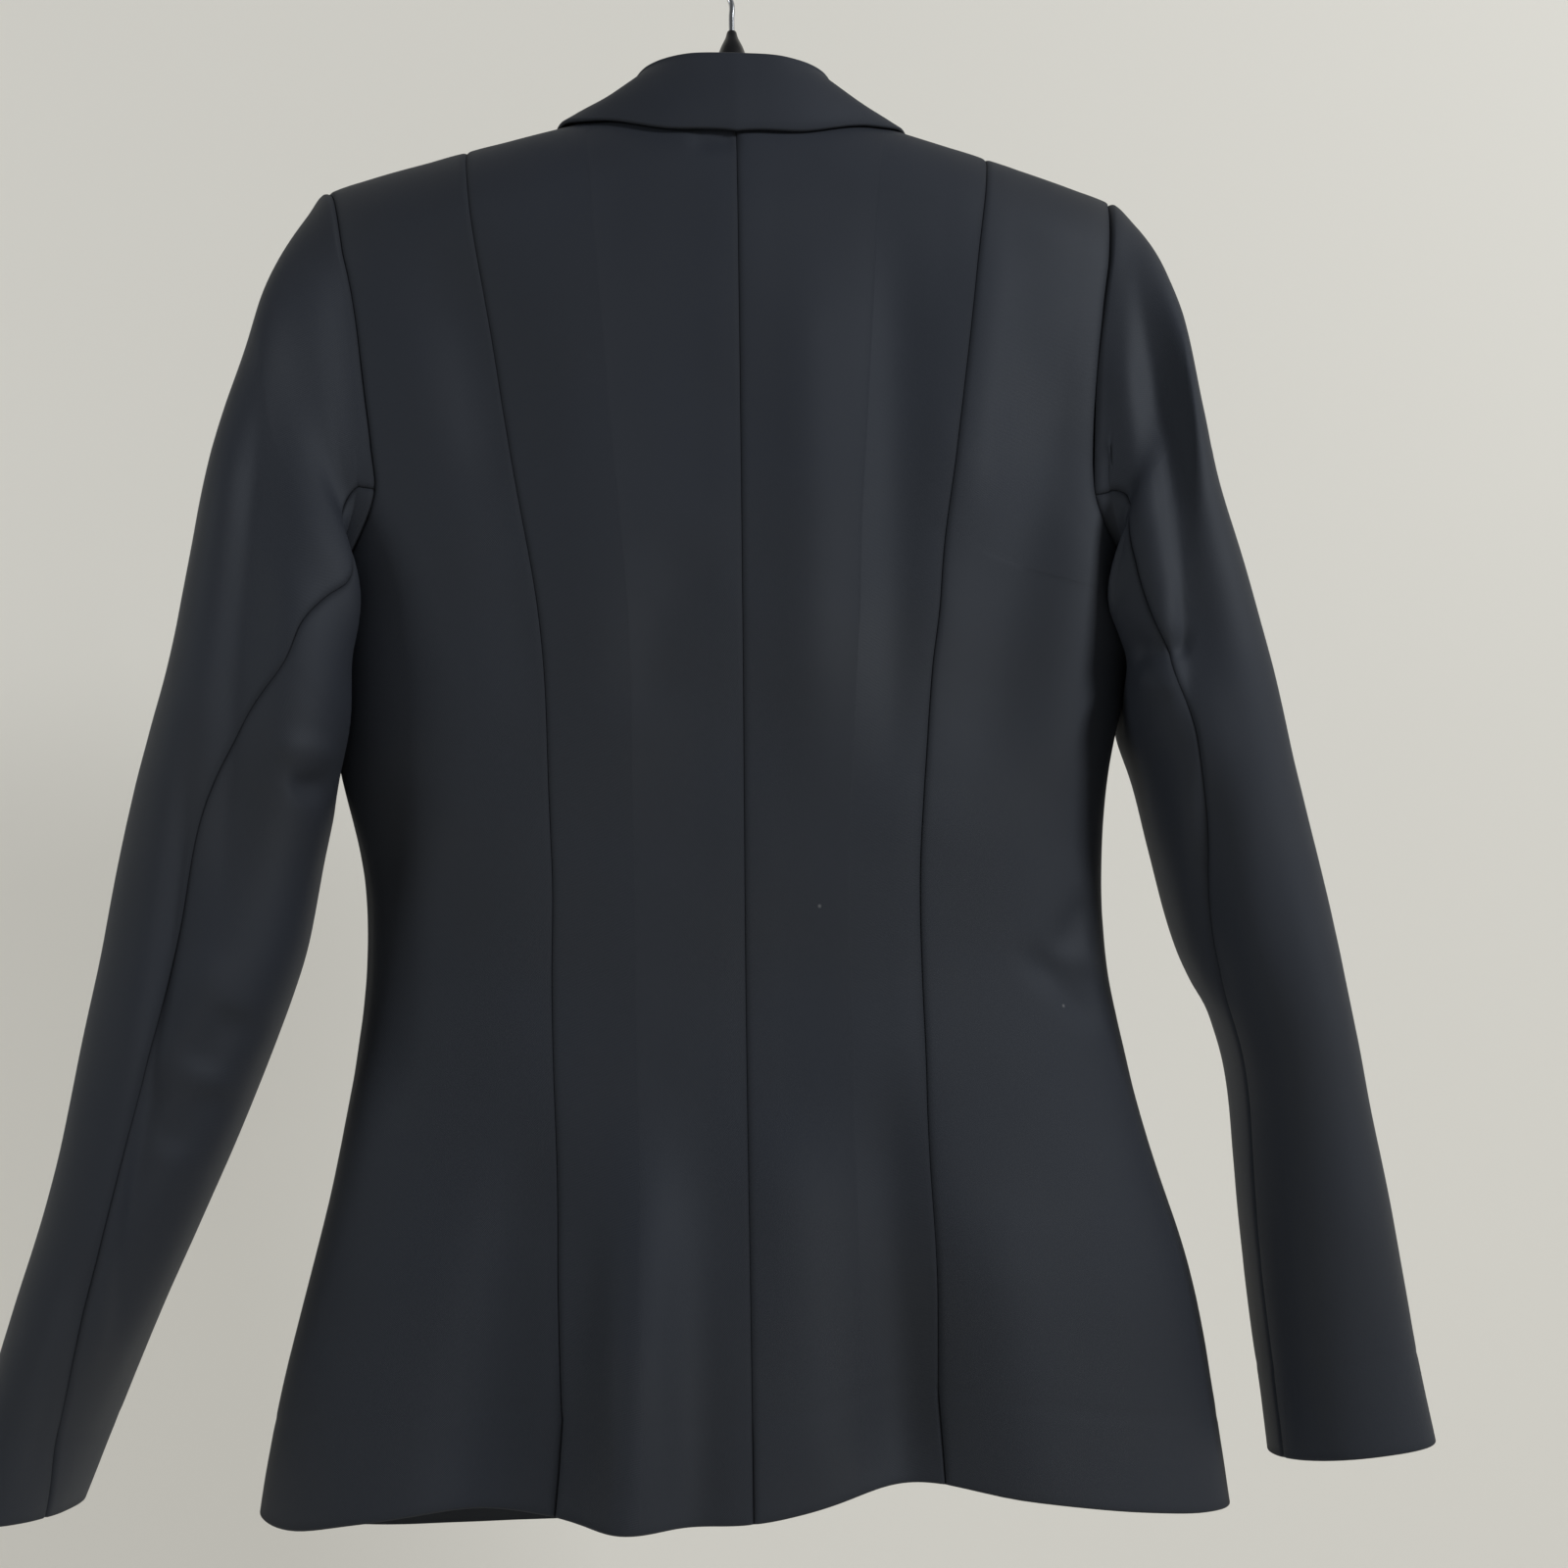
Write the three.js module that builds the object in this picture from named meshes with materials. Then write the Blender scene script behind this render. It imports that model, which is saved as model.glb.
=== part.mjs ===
// A long-line fitted blazer on a plain plastic hanger.
// Millimetres, +Z up. The origin is the inside top of the hanger's hook. The back faces +Y, the front
// faces -Y and the wearer's left is +X. "down" is a height below the origin, so z = -down.
import * as THREE from "three";

// Cloth
const CLOTH = 1.6;
const COLLAR_CLOTH = 2.0;
const SEAM = 0.3;
const LIE = 0.9;
const FALL_BULGE = 2.6;
const STAND_ABOVE = 0.8;
const STAND_INSIDE = 2.6;

// Shoulders and neck
const SHOULDER_X = 190;
const SHOULDER_DOWN = 161;
const SHOULDER_SLOPE = 0.31;
const NECK_ROUND = 30;
const RIDGE_FALL = 50;
const NECK_X = 72;
const NAPE_WAY = 34;
const NECK_TAPER = 105;
const PRINCESS_RISE = 15;

// Armhole
const ARMHOLE_DEEP = 210;
const ARMHOLE_WAIST = 160;
const ARMHOLE_TOP_SHARE = 0.95;
const ARMHOLE_BEND = 2.2;
const ARMHOLE_SHARE = {
  left: { back: 0.807, front: 0.79 },
  right: { back: 0.842, front: 0.815 },
};

// Front closure
const OVERLAP = 20;
const UNDERLAP_IN = { above: 5.4, below: 2.6, from: 370, over: 60 };
const UNDERLAP_EDGE = { start: 48, full: 23 };
const BUTTON_DOWN = 522;
const BUTTON_RADIUS = 10;
const BUTTON_THICK = 2.4;
const BUTTON_BEVEL = 0.6;
const BUTTON_OFF = 0.9;
const BUTTON_HOLE = { reach: 2.3, radius: 1 };

// Hanger
const BAR_RADIUS = 4.5;
const BAR_SIDES = 8;
const BAR_CLEAR = 0.8;
const BAR_SHOULDER = [178, 150, 120, 95, 76];
const BAR_ARCH = [
  { x: 56, down: 128 },
  { x: 38, down: 119 },
  { x: 18, down: 107.5 },
];
const HOOK_WIRE = 1.5;
const HOOK_INSIDE = 18;
const HOOK_ANGLES = [-48, -20, 10, 40, 70, 100, 130, 160, 190, 205];
const CONE_TIP_DOWN = 69;
const CONE_FOOT_DOWN = 100;
const STEM = [
  { x: 0, down: CONE_TIP_DOWN },
  { x: 0, down: 62 },
  { x: 0, down: 54 },
  { x: 4, down: 46 },
];
const CONE_SIDES = 20;
const CONE = [
  { down: 99.7, radius: 8 },
  { down: 90, radius: 8 },
  { down: 80, radius: 6.5 },
  { down: 73, radius: 3.2 },
  { down: 69.3, radius: 2.4 },
];

// Torso outline at each height: half widths on the wearer's left and right, depth of back and front
// from the middle, and how square the section is (2 is an ellipse).
const BODY = [
  { down: 100, left: 205, right: 195, back: 42, front: 36, square: 3.2 },
  { down: 160, left: 205, right: 195, back: 46, front: 42, square: 3.2 },
  { down: 200, left: 205, right: 195, back: 50, front: 48, square: 3.2 },
  { down: 270, left: 204, right: 194, back: 54, front: 56, square: 3.1 },
  { down: 330, left: 196, right: 191, back: 56, front: 60, square: 2.9 },
  { down: 370, left: 189, right: 188, back: 56, front: 60, square: 2.7 },
  { down: 400, left: 185, right: 180, back: 55, front: 58, square: 2.6 },
  { down: 440, left: 180, right: 172, back: 52, front: 55, square: 2.5 },
  { down: 490, left: 169.5, right: 167.5, back: 48, front: 50, square: 2.4 },
  { down: 530, left: 167, right: 168.5, back: 46, front: 47, square: 2.3 },
  { down: 565, left: 169.5, right: 174, back: 48, front: 47, square: 2.3 },
  { down: 615, left: 177.5, right: 184.5, back: 52, front: 51, square: 2.3 },
  { down: 665, left: 189, right: 197, back: 57, front: 56, square: 2.3 },
  { down: 720, left: 201, right: 206, back: 61, front: 60, square: 2.2 },
  { down: 785, left: 210, right: 213, back: 65, front: 62, square: 2.2 },
];

// Princess seam: its share of the half width at each height.
const PRINCESS = [
  { down: 120, left: 0.63, right: 0.645 },
  { down: 200, left: 0.585, right: 0.575 },
  { down: 265, left: 0.535, right: 0.53 },
  { down: 320, left: 0.505, right: 0.495 },
  { down: 365, left: 0.48, right: 0.47 },
  { down: 410, left: 0.465, right: 0.465 },
  { down: 455, left: 0.465, right: 0.465 },
  { down: 505, left: 0.48, right: 0.455 },
  { down: 565, left: 0.49, right: 0.45 },
  { down: 640, left: 0.45, right: 0.42 },
  { down: 745, left: 0.385, right: 0.38 },
];

// Soft ridges (+) and troughs (-) that widen from the waist to the back hem.
const HEM_FOLDS = [
  { at: 0.25, wide: 0.1, depth: 18, from: 560 },
  { at: 0.52, wide: 0.13, depth: -6, from: 600 },
  { at: 0.8, wide: 0.12, depth: 4, from: 620 },
  { at: 0.02, wide: 0.1, depth: 4, from: 600 },
  { at: -0.32, wide: 0.15, depth: -14, from: 570 },
  { at: -0.62, wide: 0.15, depth: 2, from: 620 },
];
const HEM_FOLDS_FULL = 740;
const HEM_LEVEL = 760;

// Hem height all round: turn is the angle from the centre back, + to the wearer's left.
const HEM = [
  { turn: -190, down: 766 },
  { turn: -135, down: 766 },
  { turn: -90, down: 764 },
  { turn: -63, down: 760 },
  { turn: -48, down: 754.5 },
  { turn: -31, down: 745.5 },
  { turn: -18, down: 740 },
  { turn: 0, down: 747 },
  { turn: 14, down: 745.5 },
  { turn: 30, down: 743 },
  { turn: 48, down: 748 },
  { turn: 63, down: 754 },
  { turn: 90, down: 755 },
  { turn: 135, down: 775 },
  { turn: 190, down: 780 },
];

// Rows of the torso above the underarm, by their way down the cloth from the shoulder seam, and the
// turn round the sleeve that each one meets at the armhole.
const ARM_ROWS = [
  { way: 0, turn: 0 },
  { way: 12, turn: 10 },
  { way: 25, turn: 20 },
  { way: 38, turn: 31 },
  { way: 50, turn: 42 },
  { way: 75, turn: 58 },
  { way: 105, turn: 75 },
  { way: 140, turn: 93 },
  { way: 165, turn: 109 },
  { way: 187, turn: 127 },
  { way: 201, turn: 146 },
  { way: 208, turn: 163 },
  { way: 210, turn: 180 },
];
const HIND_ARM_ROW = 8;
const FORE_ARM_ROW = 8;
const SLEEVE_SEAM_ROWS = 0.011;

// Rows below the underarm, as shares of the way to the hem, and the columns across each panel.
const LOWER_ROWS = [0.09, 0.2, 0.32, 0.44, 0.56, 0.68, 0.8, 0.91, 0.975, 1];
const CENTRE_COLUMNS = [0, 0.13, 0.25, 0.35, 0.44, 0.51, 0.548, 0.565, 0.7, 0.85, 1];
const FRONT_COLUMNS = [0, 0.08, 0.17, 0.27, 0.38, 0.49, 0.6, 0.71, 0.81, 0.9, 0.96, 1];
const SIDE_PARTS = 8;
const HEM_CORNER = { from: 0.975, x: 12 };

// Inner edge of a front: its distance from the centre, from the neck to the break of the lapel.
const FRONT_EDGE = [
  { way: 0, x: NECK_X },
  { way: 25, x: 66 },
  { way: 50, x: 60 },
  { way: 105, x: 48 },
  { way: 200, x: 26 },
  { way: 300, x: 0 },
  { way: 340, x: -13 },
  { way: 362, x: -OVERLAP },
];

// Collar from the centre back (0) to its front end (1): its seam on the neck, its roll and its outer
// edge, each by a distance from the centre and a way, + down the back and - down the front.
const COLLAR_SEAM = [
  { at: 0, x: 0, way: 34 },
  { at: 0.14, x: 26, way: 32 },
  { at: 0.28, x: 50, way: 24 },
  { at: 0.4, x: 66, way: 13 },
  { at: 0.5, x: 71.5, way: 0 },
  { at: 0.62, x: 68.5, way: -16 },
  { at: 0.8, x: 64, way: -34 },
  { at: 1, x: 60, way: -50 },
];
const COLLAR_ROLL = [
  { at: 0, x: 0, y: 38, down: 105.5, way: 36 },
  { at: 0.14, x: 22, y: 36, down: 105, way: 35 },
  { at: 0.28, x: 39, y: 26, down: 104.5, way: 27 },
  { at: 0.4, x: 47.5, y: 12, down: 107, way: 13 },
  { at: 0.5, x: 52, y: -1, down: 111, way: 0 },
  { at: 0.62, x: 53, y: -20, down: 119, way: -15 },
  { at: 0.8, x: 56, y: -36, down: 136, way: -30 },
  { at: 1, x: 58, y: -47, down: 160, way: -46 },
];
const COLLAR_EDGE = [
  { at: 0, x: 0, way: 43 },
  { at: 0.14, x: 32, way: 39 },
  { at: 0.28, x: 59, way: 28 },
  { at: 0.4, x: 77, way: 18 },
  { at: 0.5, x: 87, way: -2 },
  { at: 0.62, x: 92, way: -20 },
  { at: 0.8, x: 97, way: -40 },
  { at: 1, x: 96, way: -58 },
];
const ROLL_RADIUS = 3.4;
const ROLL_ANGLES = [180, 135, 90, 45, 0];
const COLLAR_LIFT = 3;
const COLLAR_STEP = 0.01;
const COLLAR_COLUMNS = [0, 0.07, 0.14, 0.21, 0.28, 0.34, 0.4, 0.45, 0.5, 0.56, 0.62, 0.71, 0.8, 0.9, 1];
const FALL_SHARES = [0.3, 0.62];
const FALL_ROUND = 1;
const FALL_LIES = { from: 0.5, over: 0.25 };
const STAND_EASE = 12;

// Lapel from the gorge (0) to the break (1): how far its outer edge is from the centre.
const LAPEL = [
  { at: 0, x: 112 },
  { at: 0.12, x: 110 },
  { at: 0.3, x: 101 },
  { at: 0.55, x: 76 },
  { at: 0.8, x: 32 },
  { at: 1, x: -15 },
];
const GORGE_WAY = 53;
const LAPEL_TIP_WAY = 74;
const LAPEL_END_WAY = 360;
const LAPEL_BULGE = 2.4;
const LAPEL_LEAST = 6;
const LAPEL_PARTS = { across: 7, along: 14 };
const ROLL_PAST_EDGE = 1.2;

// Sleeves, ring by ring from the armhole to the cuff: outer and inner edge, the middle and half the
// depth from front to back, how square the ring is, and how far the hind-arm seam has swung inwards.
const SLEEVE = {
  left: [
    { outX: 195, outDown: 161, inX: 189, inDown: 373, midY: 0, deep: 40, square: 2.4, swing: 0 },
    { outX: 201, outDown: 172, inX: 192, inDown: 374, midY: 2, deep: 42, square: 2.4, swing: 5 },
    { outX: 208, outDown: 189, inX: 192, inDown: 377, midY: 6, deep: 44, square: 2.4, swing: 14 },
    { outX: 213, outDown: 212, inX: 188, inDown: 381, midY: 12, deep: 45, square: 2.4, swing: 20 },
    { outX: 219, outDown: 244, inX: 181, inDown: 387, midY: 16, deep: 46, square: 2.5, swing: 20 },
    { outX: 227, outDown: 277, inX: 174, inDown: 396, midY: 20, deep: 46, square: 2.6, swing: 15 },
    { outX: 234, outDown: 314, inX: 170, inDown: 408, midY: 24, deep: 46, square: 2.6, swing: 9 },
    { outX: 241, outDown: 358, inX: 170, inDown: 424, midY: 25, deep: 46, square: 2.6, swing: 3 },
    { outX: 250, outDown: 408, inX: 175, inDown: 445, midY: 25, deep: 45, square: 2.5, swing: -14 },
    { outX: 261, outDown: 458, inX: 182, inDown: 476, midY: 22, deep: 43, square: 2.4, swing: -25 },
    { outX: 271, outDown: 508, inX: 191, inDown: 518, midY: 18, deep: 41, square: 2.3, swing: -23 },
    { outX: 280, outDown: 558, inX: 208, inDown: 566, midY: 15, deep: 41, square: 2.3, swing: -19 },
    { outX: 289, outDown: 610, inX: 228, inDown: 616, midY: 12, deep: 41, square: 2.3, swing: -12 },
    { outX: 302, outDown: 662, inX: 249, inDown: 664, midY: 10, deep: 42, square: 2.2, swing: 4 },
    { outX: 312, outDown: 706, inX: 268, inDown: 708, midY: 9, deep: 43, square: 2.2, swing: 26 },
    { outX: 321, outDown: 748, inX: 284, inDown: 749, midY: 8, deep: 44, square: 2.2, swing: 45 },
  ],
  right: [
    { outX: 186, outDown: 161, inX: 188, inDown: 373, midY: 0, deep: 40, square: 2.4, swing: 0 },
    { outX: 194, outDown: 171, inX: 191, inDown: 374, midY: 2, deep: 42, square: 2.4, swing: 2 },
    { outX: 203, outDown: 186, inX: 191, inDown: 377, midY: 5, deep: 44, square: 2.4, swing: 5 },
    { outX: 206, outDown: 208, inX: 188, inDown: 381, midY: 9, deep: 46, square: 2.4, swing: 9 },
    { outX: 211, outDown: 238, inX: 185, inDown: 387, midY: 13, deep: 47, square: 2.5, swing: 13 },
    { outX: 215, outDown: 272, inX: 180, inDown: 396, midY: 16, deep: 48, square: 2.5, swing: 17 },
    { outX: 220, outDown: 310, inX: 175, inDown: 408, midY: 18, deep: 48, square: 2.5, swing: 15 },
    { outX: 230, outDown: 356, inX: 175, inDown: 424, midY: 19, deep: 47, square: 2.5, swing: 12 },
    { outX: 241, outDown: 404, inX: 180, inDown: 445, midY: 20, deep: 46, square: 2.4, swing: 10 },
    { outX: 251, outDown: 455, inX: 186, inDown: 478, midY: 20, deep: 45, square: 2.3, swing: 20 },
    { outX: 261, outDown: 505, inX: 197, inDown: 522, midY: 18, deep: 43, square: 2.3, swing: 42 },
    { outX: 270, outDown: 555, inX: 216, inDown: 567, midY: 16, deep: 42, square: 2.3, swing: 54 },
    { outX: 278, outDown: 608, inX: 222, inDown: 618, midY: 14, deep: 41, square: 2.3, swing: 58 },
    { outX: 284, outDown: 660, inX: 226, inDown: 668, midY: 13, deep: 40, square: 2.3, swing: 60 },
    { outX: 290, outDown: 702, inX: 229, inDown: 709, midY: 12, deep: 39, square: 2.3, swing: 60 },
    { outX: 296, outDown: 737, inX: 231, inDown: 743, midY: 12, deep: 39, square: 2.3, swing: 60 },
  ],
};
const SEAM_BLEND = 3.5;

// How far each sleeve's back laps over the torso's back at a ring, around one turn of the sleeve.
const LAP = [
  { ring: 0, reach: 0 },
  { ring: 1, reach: 8 },
  { ring: 2, reach: 16 },
  { ring: 3, reach: 25 },
  { ring: 4, reach: 20 },
  { ring: 5, reach: 10 },
  { ring: 6, reach: 3 },
  { ring: 7, reach: 0 },
];
const LAP_TURN = { at: 135, wide: 34 };
const CUFF_RISE = { by: 6, from: 11, over: 4 };
const SHARED_RINGS = 1.5;
const RING_STEP = 0.05;
const FOLD_REACH = 60;
const SLEEVE_CLEAR = 1.6;
const CLEAR_FROM_DOWN = 300;
const CLEAR_RINGS = 0.8;
const FULL_TURN = 360;
const TURN_SLACK = 0.5;
const FRONT_MIDDLE_TURN = 135;
const CLEAR_SOFT = 4;
const CLEAR_EASE = 0.25;

// Long troughs (-) and ridges (+) on the sleeves: the turn at the first and last ring of the fold.
const SLEEVE_FOLDS = [
  { side: "left", from: 4, to: 14, turnFrom: 48, turnTo: 62, wide: 15, depth: -5 },
  { side: "left", from: 1, to: 8, turnFrom: 84, turnTo: 88, wide: 16, depth: 3 },
  { side: "right", from: 1.5, to: 9, turnFrom: 62, turnTo: 66, wide: 15, depth: -5 },
  { side: "right", from: 2, to: 10, turnFrom: 96, turnTo: 92, wide: 16, depth: 3 },
];

// Colours and finishes
const SUITING = { color: 0x2a2d33, roughness: 0.78, metalness: 0 };
const BLACK_PLASTIC = { color: 0x111214, roughness: 0.35, metalness: 0 };
const BRIGHT_STEEL = { color: 0xc9ccd0, roughness: 0.25, metalness: 1 };

const RADIANS = Math.PI / 180;
const TURN_STEP = 0.4;
const WAY_STEP = 0.5;
const signOf = (side) => (side === "left" ? 1 : -1);
const clamp = (v) => Math.min(1, Math.max(0, v));
const ease = (v) => clamp(v) * clamp(v) * (3 - 2 * clamp(v));
const bell = (v) => Math.exp(-v * v);
const mix = (a, b, t) => a + (b - a) * t;

// Reads one column of a table on a smooth curve through its rows.
function reader(table, place, column) {
  const at = table.map((row) => row[place]);
  const value = table.map((row) => row[column]);
  const last = at.length - 1;
  const slope = at.map((_, i) => {
    const a = Math.max(i - 1, 0);
    const b = Math.min(i + 1, last);
    return (value[b] - value[a]) / (at[b] - at[a]);
  });
  return (p) => {
    let i = 0;
    while (i < last - 1 && p > at[i + 1]) i += 1;
    const span = at[i + 1] - at[i];
    const t = clamp((p - at[i]) / span);
    const rise = value[i + 1] - value[i];
    const bend = t * (1 - t) * ((1 - t) * (slope[i] * span - rise) - t * (slope[i + 1] * span - rise));
    return value[i] + rise * t + bend;
  };
}

const readers = (table, place, columns) =>
  Object.fromEntries(columns.map((c) => [c, reader(table, place, c)]));

const body = readers(BODY, "down", ["left", "right", "back", "front", "square"]);
const princess = readers(PRINCESS, "down", ["left", "right"]);
const hemDown = reader(HEM, "turn", "down");
const frontEdge = reader(FRONT_EDGE, "way", "x");
const lapelEdge = reader(LAPEL, "at", "x");
const collarSeam = readers(COLLAR_SEAM, "at", ["x", "way"]);
const collarRoll = readers(COLLAR_ROLL, "at", ["x", "y", "down", "way"]);
const collarEdge = readers(COLLAR_EDGE, "at", ["x", "way"]);

// Height of the shoulder line at a distance from the centre.
const shoulderReach = Math.hypot(SHOULDER_X, NECK_ROUND);
const ridgeDown = (x) => SHOULDER_DOWN - SHOULDER_SLOPE * (shoulderReach - Math.hypot(x, NECK_ROUND));

// Fall below the shoulder line for a way along the cloth, and how far the cloth has come out by then.
const roundedWay = (way) => Math.min(way / RIDGE_FALL, 1) * 90 * RADIANS;
const fallOf = (way) => Math.max(way - RIDGE_FALL, 0) + RIDGE_FALL * (1 - Math.cos(roundedWay(way)));
const comeOut = (way) => Math.sin(roundedWay(way));

// A point of a rounded-square unit section, by its angle from the depth axis.
function unitSection(turn, square) {
  const s = Math.sin(turn * RADIANS);
  const c = Math.cos(turn * RADIANS);
  const reach = (Math.abs(s) ** square + Math.abs(c) ** square) ** (-1 / square);
  return [s * reach, c * reach];
}

// The turn at which the section reaches a share of its half width, on the back half.
const turnOfShare = (share, square) =>
  Math.atan2(share, (1 - Math.abs(share) ** square) ** (1 / square)) / RADIANS;

// Distance from the centre of a share of the half width, at the height of the chest.
const chestReach = (share) => share * (share >= 0 ? BODY[0].left : BODY[0].right);

const squareAtWay = (way) => body.square(SHOULDER_DOWN + fallOf(way));

function foldDepth(share, down) {
  const grown = (f) => ease((down - f.from) / (HEM_FOLDS_FULL - f.from));
  return HEM_FOLDS.reduce((sum, f) => sum + f.depth * bell((share - f.at) / f.wide) * grown(f), 0);
}

// The torso's outer surface: turn is the angle from the centre back, way the way down from the shoulder.
function torso(turn, way) {
  const [share, out] = unitSection(turn, squareAtWay(way));
  const down = ridgeDown(chestReach(share)) + fallOf(way);
  const half = share >= 0 ? body.left(down) : body.right(down);
  const depth = out >= 0 ? body.back(down) : body.front(down);
  const fold = out > 0 ? foldDepth(share, down) : 0;
  return new THREE.Vector3(half * share, depth * out * comeOut(way) + fold, -down);
}

// The way from the shoulder line to the hem at a turn.
function wayToHem(turn) {
  const [share] = unitSection(turn, body.square(HEM_LEVEL));
  return hemDown(turn) - ridgeDown(chestReach(share));
}

// The outward unit normal of a surface point(a, b), whose a runs round the body from the back to the
// wearer's left and whose b runs down.
function normalOf(point, a, b, stepA, stepB) {
  const across = point(a + stepA, b).sub(point(a - stepA, b));
  const along = point(a, b + stepB).sub(point(a, b - stepB));
  return along.cross(across).normalize();
}

const mirroredWay = (turn, way) => (way >= 0 ? torso(turn, way) : torso(180 - turn, -way));
const torsoNormal = (turn, way) => normalOf(mirroredWay, turn, way, TURN_STEP, WAY_STEP).negate();

// Moves a turn or a way by a distance in millimetres along the cloth.
function turnMoved(turn, way, mm) {
  const speed = torso(turn + TURN_STEP, way).distanceTo(torso(turn - TURN_STEP, way)) / (2 * TURN_STEP);
  return turn + mm / speed;
}

function wayMoved(turn, way, mm) {
  const speed = torso(turn, way + WAY_STEP).distanceTo(torso(turn, way)) / WAY_STEP;
  return way + mm / speed;
}

// The turn at a distance x from the centre towards a side, on the back or on the front.
function turnAtX(side, x, way, onFront) {
  const down = ridgeDown(x) + fallOf(way);
  const turn = turnOfShare(x / body[side](down), squareAtWay(way));
  return signOf(side) * (onFront ? 180 - turn : turn);
}

// The armhole's edge at a way down from the shoulder, as a turn on the back half.
function armholeTurn(side, face, way) {
  const waist = ARMHOLE_SHARE[side][face];
  const square = squareAtWay(way);
  if (way <= ARMHOLE_WAIST) {
    const up = (1 - way / ARMHOLE_WAIST) ** ARMHOLE_BEND;
    return turnOfShare(mix(waist, ARMHOLE_TOP_SHARE, up), square);
  }
  const u = Math.min(1, (way - ARMHOLE_WAIST) / (ARMHOLE_DEEP - ARMHOLE_WAIST));
  return turnOfShare(1 - (1 - waist) * (1 - u * u) ** (square / 2), square);
}

// A cloth wall over a grid: place(column, row) gives its outer point and outward normal.
function wallMesh(name, finish, place, columns, rows, thick = CLOTH) {
  const outer = [];
  const inner = [];
  const grid = columns.map((c) => rows.map((r) => place(c, r)));
  grid.flat().forEach(({ point, normal }) => {
    outer.push(point);
    inner.push(point.clone().addScaledVector(normal, -thick));
  });
  const wide = columns.length;
  const tall = rows.length;
  const count = wide * tall;
  const id = (i, j) => i * tall + j;
  const faces = [];
  const quad = (a, b, c, d) => faces.push(a, b, c, a, c, d);
  for (let i = 0; i < wide - 1; i += 1) {
    for (let j = 0; j < tall - 1; j += 1) {
      const [a, b, c, d] = [id(i, j), id(i, j + 1), id(i + 1, j + 1), id(i + 1, j)];
      quad(a, b, c, d);
      quad(a + count, d + count, c + count, b + count);
    }
  }
  // The edges of the wall are split alike on both sides of a seam, so that its gap stays even.
  const edge = (a, b) => quad(b, a, a + count, b + count);
  const edgeSplitAcross = (a, b) => quad(a, a + count, b + count, b);
  for (let j = 0; j < tall - 1; j += 1) {
    edge(id(0, j), id(0, j + 1));
    edgeSplitAcross(id(wide - 1, j + 1), id(wide - 1, j));
  }
  for (let i = 0; i < wide - 1; i += 1) {
    edge(id(i, tall - 1), id(i + 1, tall - 1));
    edge(id(i + 1, 0), id(i, 0));
  }
  const centre = grid[Math.floor(wide / 2)][Math.floor(tall / 2)];
  const right = grid[Math.floor(wide / 2) + 1][Math.floor(tall / 2)].point.clone().sub(centre.point);
  const below = grid[Math.floor(wide / 2)][Math.floor(tall / 2) + 1].point.clone().sub(centre.point);
  if (below.cross(right).dot(centre.normal) < 0) faces.reverse();
  const geometry = new THREE.BufferGeometry().setFromPoints([...outer, ...inner]);
  geometry.setIndex(faces);
  geometry.computeVertexNormals();
  return named(name, geometry, finish);
}

function named(name, geometry, finish) {
  const mesh = new THREE.Mesh(geometry, new THREE.MeshStandardMaterial(finish));
  mesh.name = name;
  return mesh;
}

const spread = (count) => Array.from({ length: count + 1 }, (_, i) => i / count);

// A row of the torso: above the underarm a way in millimetres, below it a share of the way to the hem.
const TORSO_ROWS = [...ARM_ROWS.map((r) => ({ way: r.way })), ...LOWER_ROWS.map((share) => ({ share }))];
function wayOfRow(row, turn) {
  if (row.share === undefined) return row.way;
  return mix(ARMHOLE_DEEP, wayToHem(turn), row.share);
}

const onTorso = (turn, way) => ({ point: torso(turn, way), normal: torsoNormal(turn, way) });

function princessTurn(side, way) {
  const down = SHOULDER_DOWN - PRINCESS_RISE + fallOf(way);
  return signOf(side) * turnOfShare(princess[side](down), squareAtWay(way));
}

// Back centre panel: from the centre-back seam to the princess seam, cut out at the neck.
function backCentre(side) {
  const s = signOf(side);
  const neckShare = NECK_X / (princess[side](SHOULDER_DOWN - PRINCESS_RISE) * body[side](SHOULDER_DOWN));
  const place = (column, row) => {
    const edge = princessTurn(side, wayOfRow(row, 0));
    const start = Math.min(1, column / neckShare);
    const topWay = column < neckShare ? NAPE_WAY * Math.sqrt(1 - start * start) : 0;
    const turn = edge * column;
    const rowWay = wayOfRow(row, turn);
    const way = Math.max(rowWay, topWay + rowWay * (1 - topWay / NECK_TAPER));
    const seamWay = row.way === 0 && topWay === 0 ? wayMoved(turn, 0, SEAM / 2) : way;
    const shift = column === 0 ? SEAM / 2 : column === 1 ? -SEAM / 2 : 0;
    return onTorso(turnMoved(turn, seamWay, s * shift), seamWay);
  };
  return wallMesh(`back_centre_${side}`, SUITING, place, CENTRE_COLUMNS, TORSO_ROWS);
}

// Back side panel: from the princess seam to the armhole and, below it, to the side seam.
function backSide(side) {
  const s = signOf(side);
  const place = (column, row) => {
    const nominal = wayOfRow(row, s * 60);
    const inner = princessTurn(side, wayOfRow(row, 0));
    const outer = row.share === undefined ? s * armholeTurn(side, "back", nominal) : s * 90;
    const turn = mix(inner, outer, column);
    const rowWay = wayOfRow(row, turn);
    const way = row.way === 0 ? wayMoved(turn, 0, SEAM / 2) : rowWay;
    const atSide = column === 1 && row.way === undefined;
    const shift = column === 0 ? SEAM / 2 : atSide ? -SEAM / 2 : 0;
    return onTorso(turnMoved(turn, way, s * shift), way);
  };
  return wallMesh(`back_side_${side}`, SUITING, place, spread(SIDE_PARTS), TORSO_ROWS);
}

// Inner edge of a front at a way: the lapel's roll above the break, the closing edge below it.
function frontInnerX(row, way) {
  const roundOff = row.share > HEM_CORNER.from ? HEM_CORNER.x : 0;
  return frontEdge(way) + roundOff;
}

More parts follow.
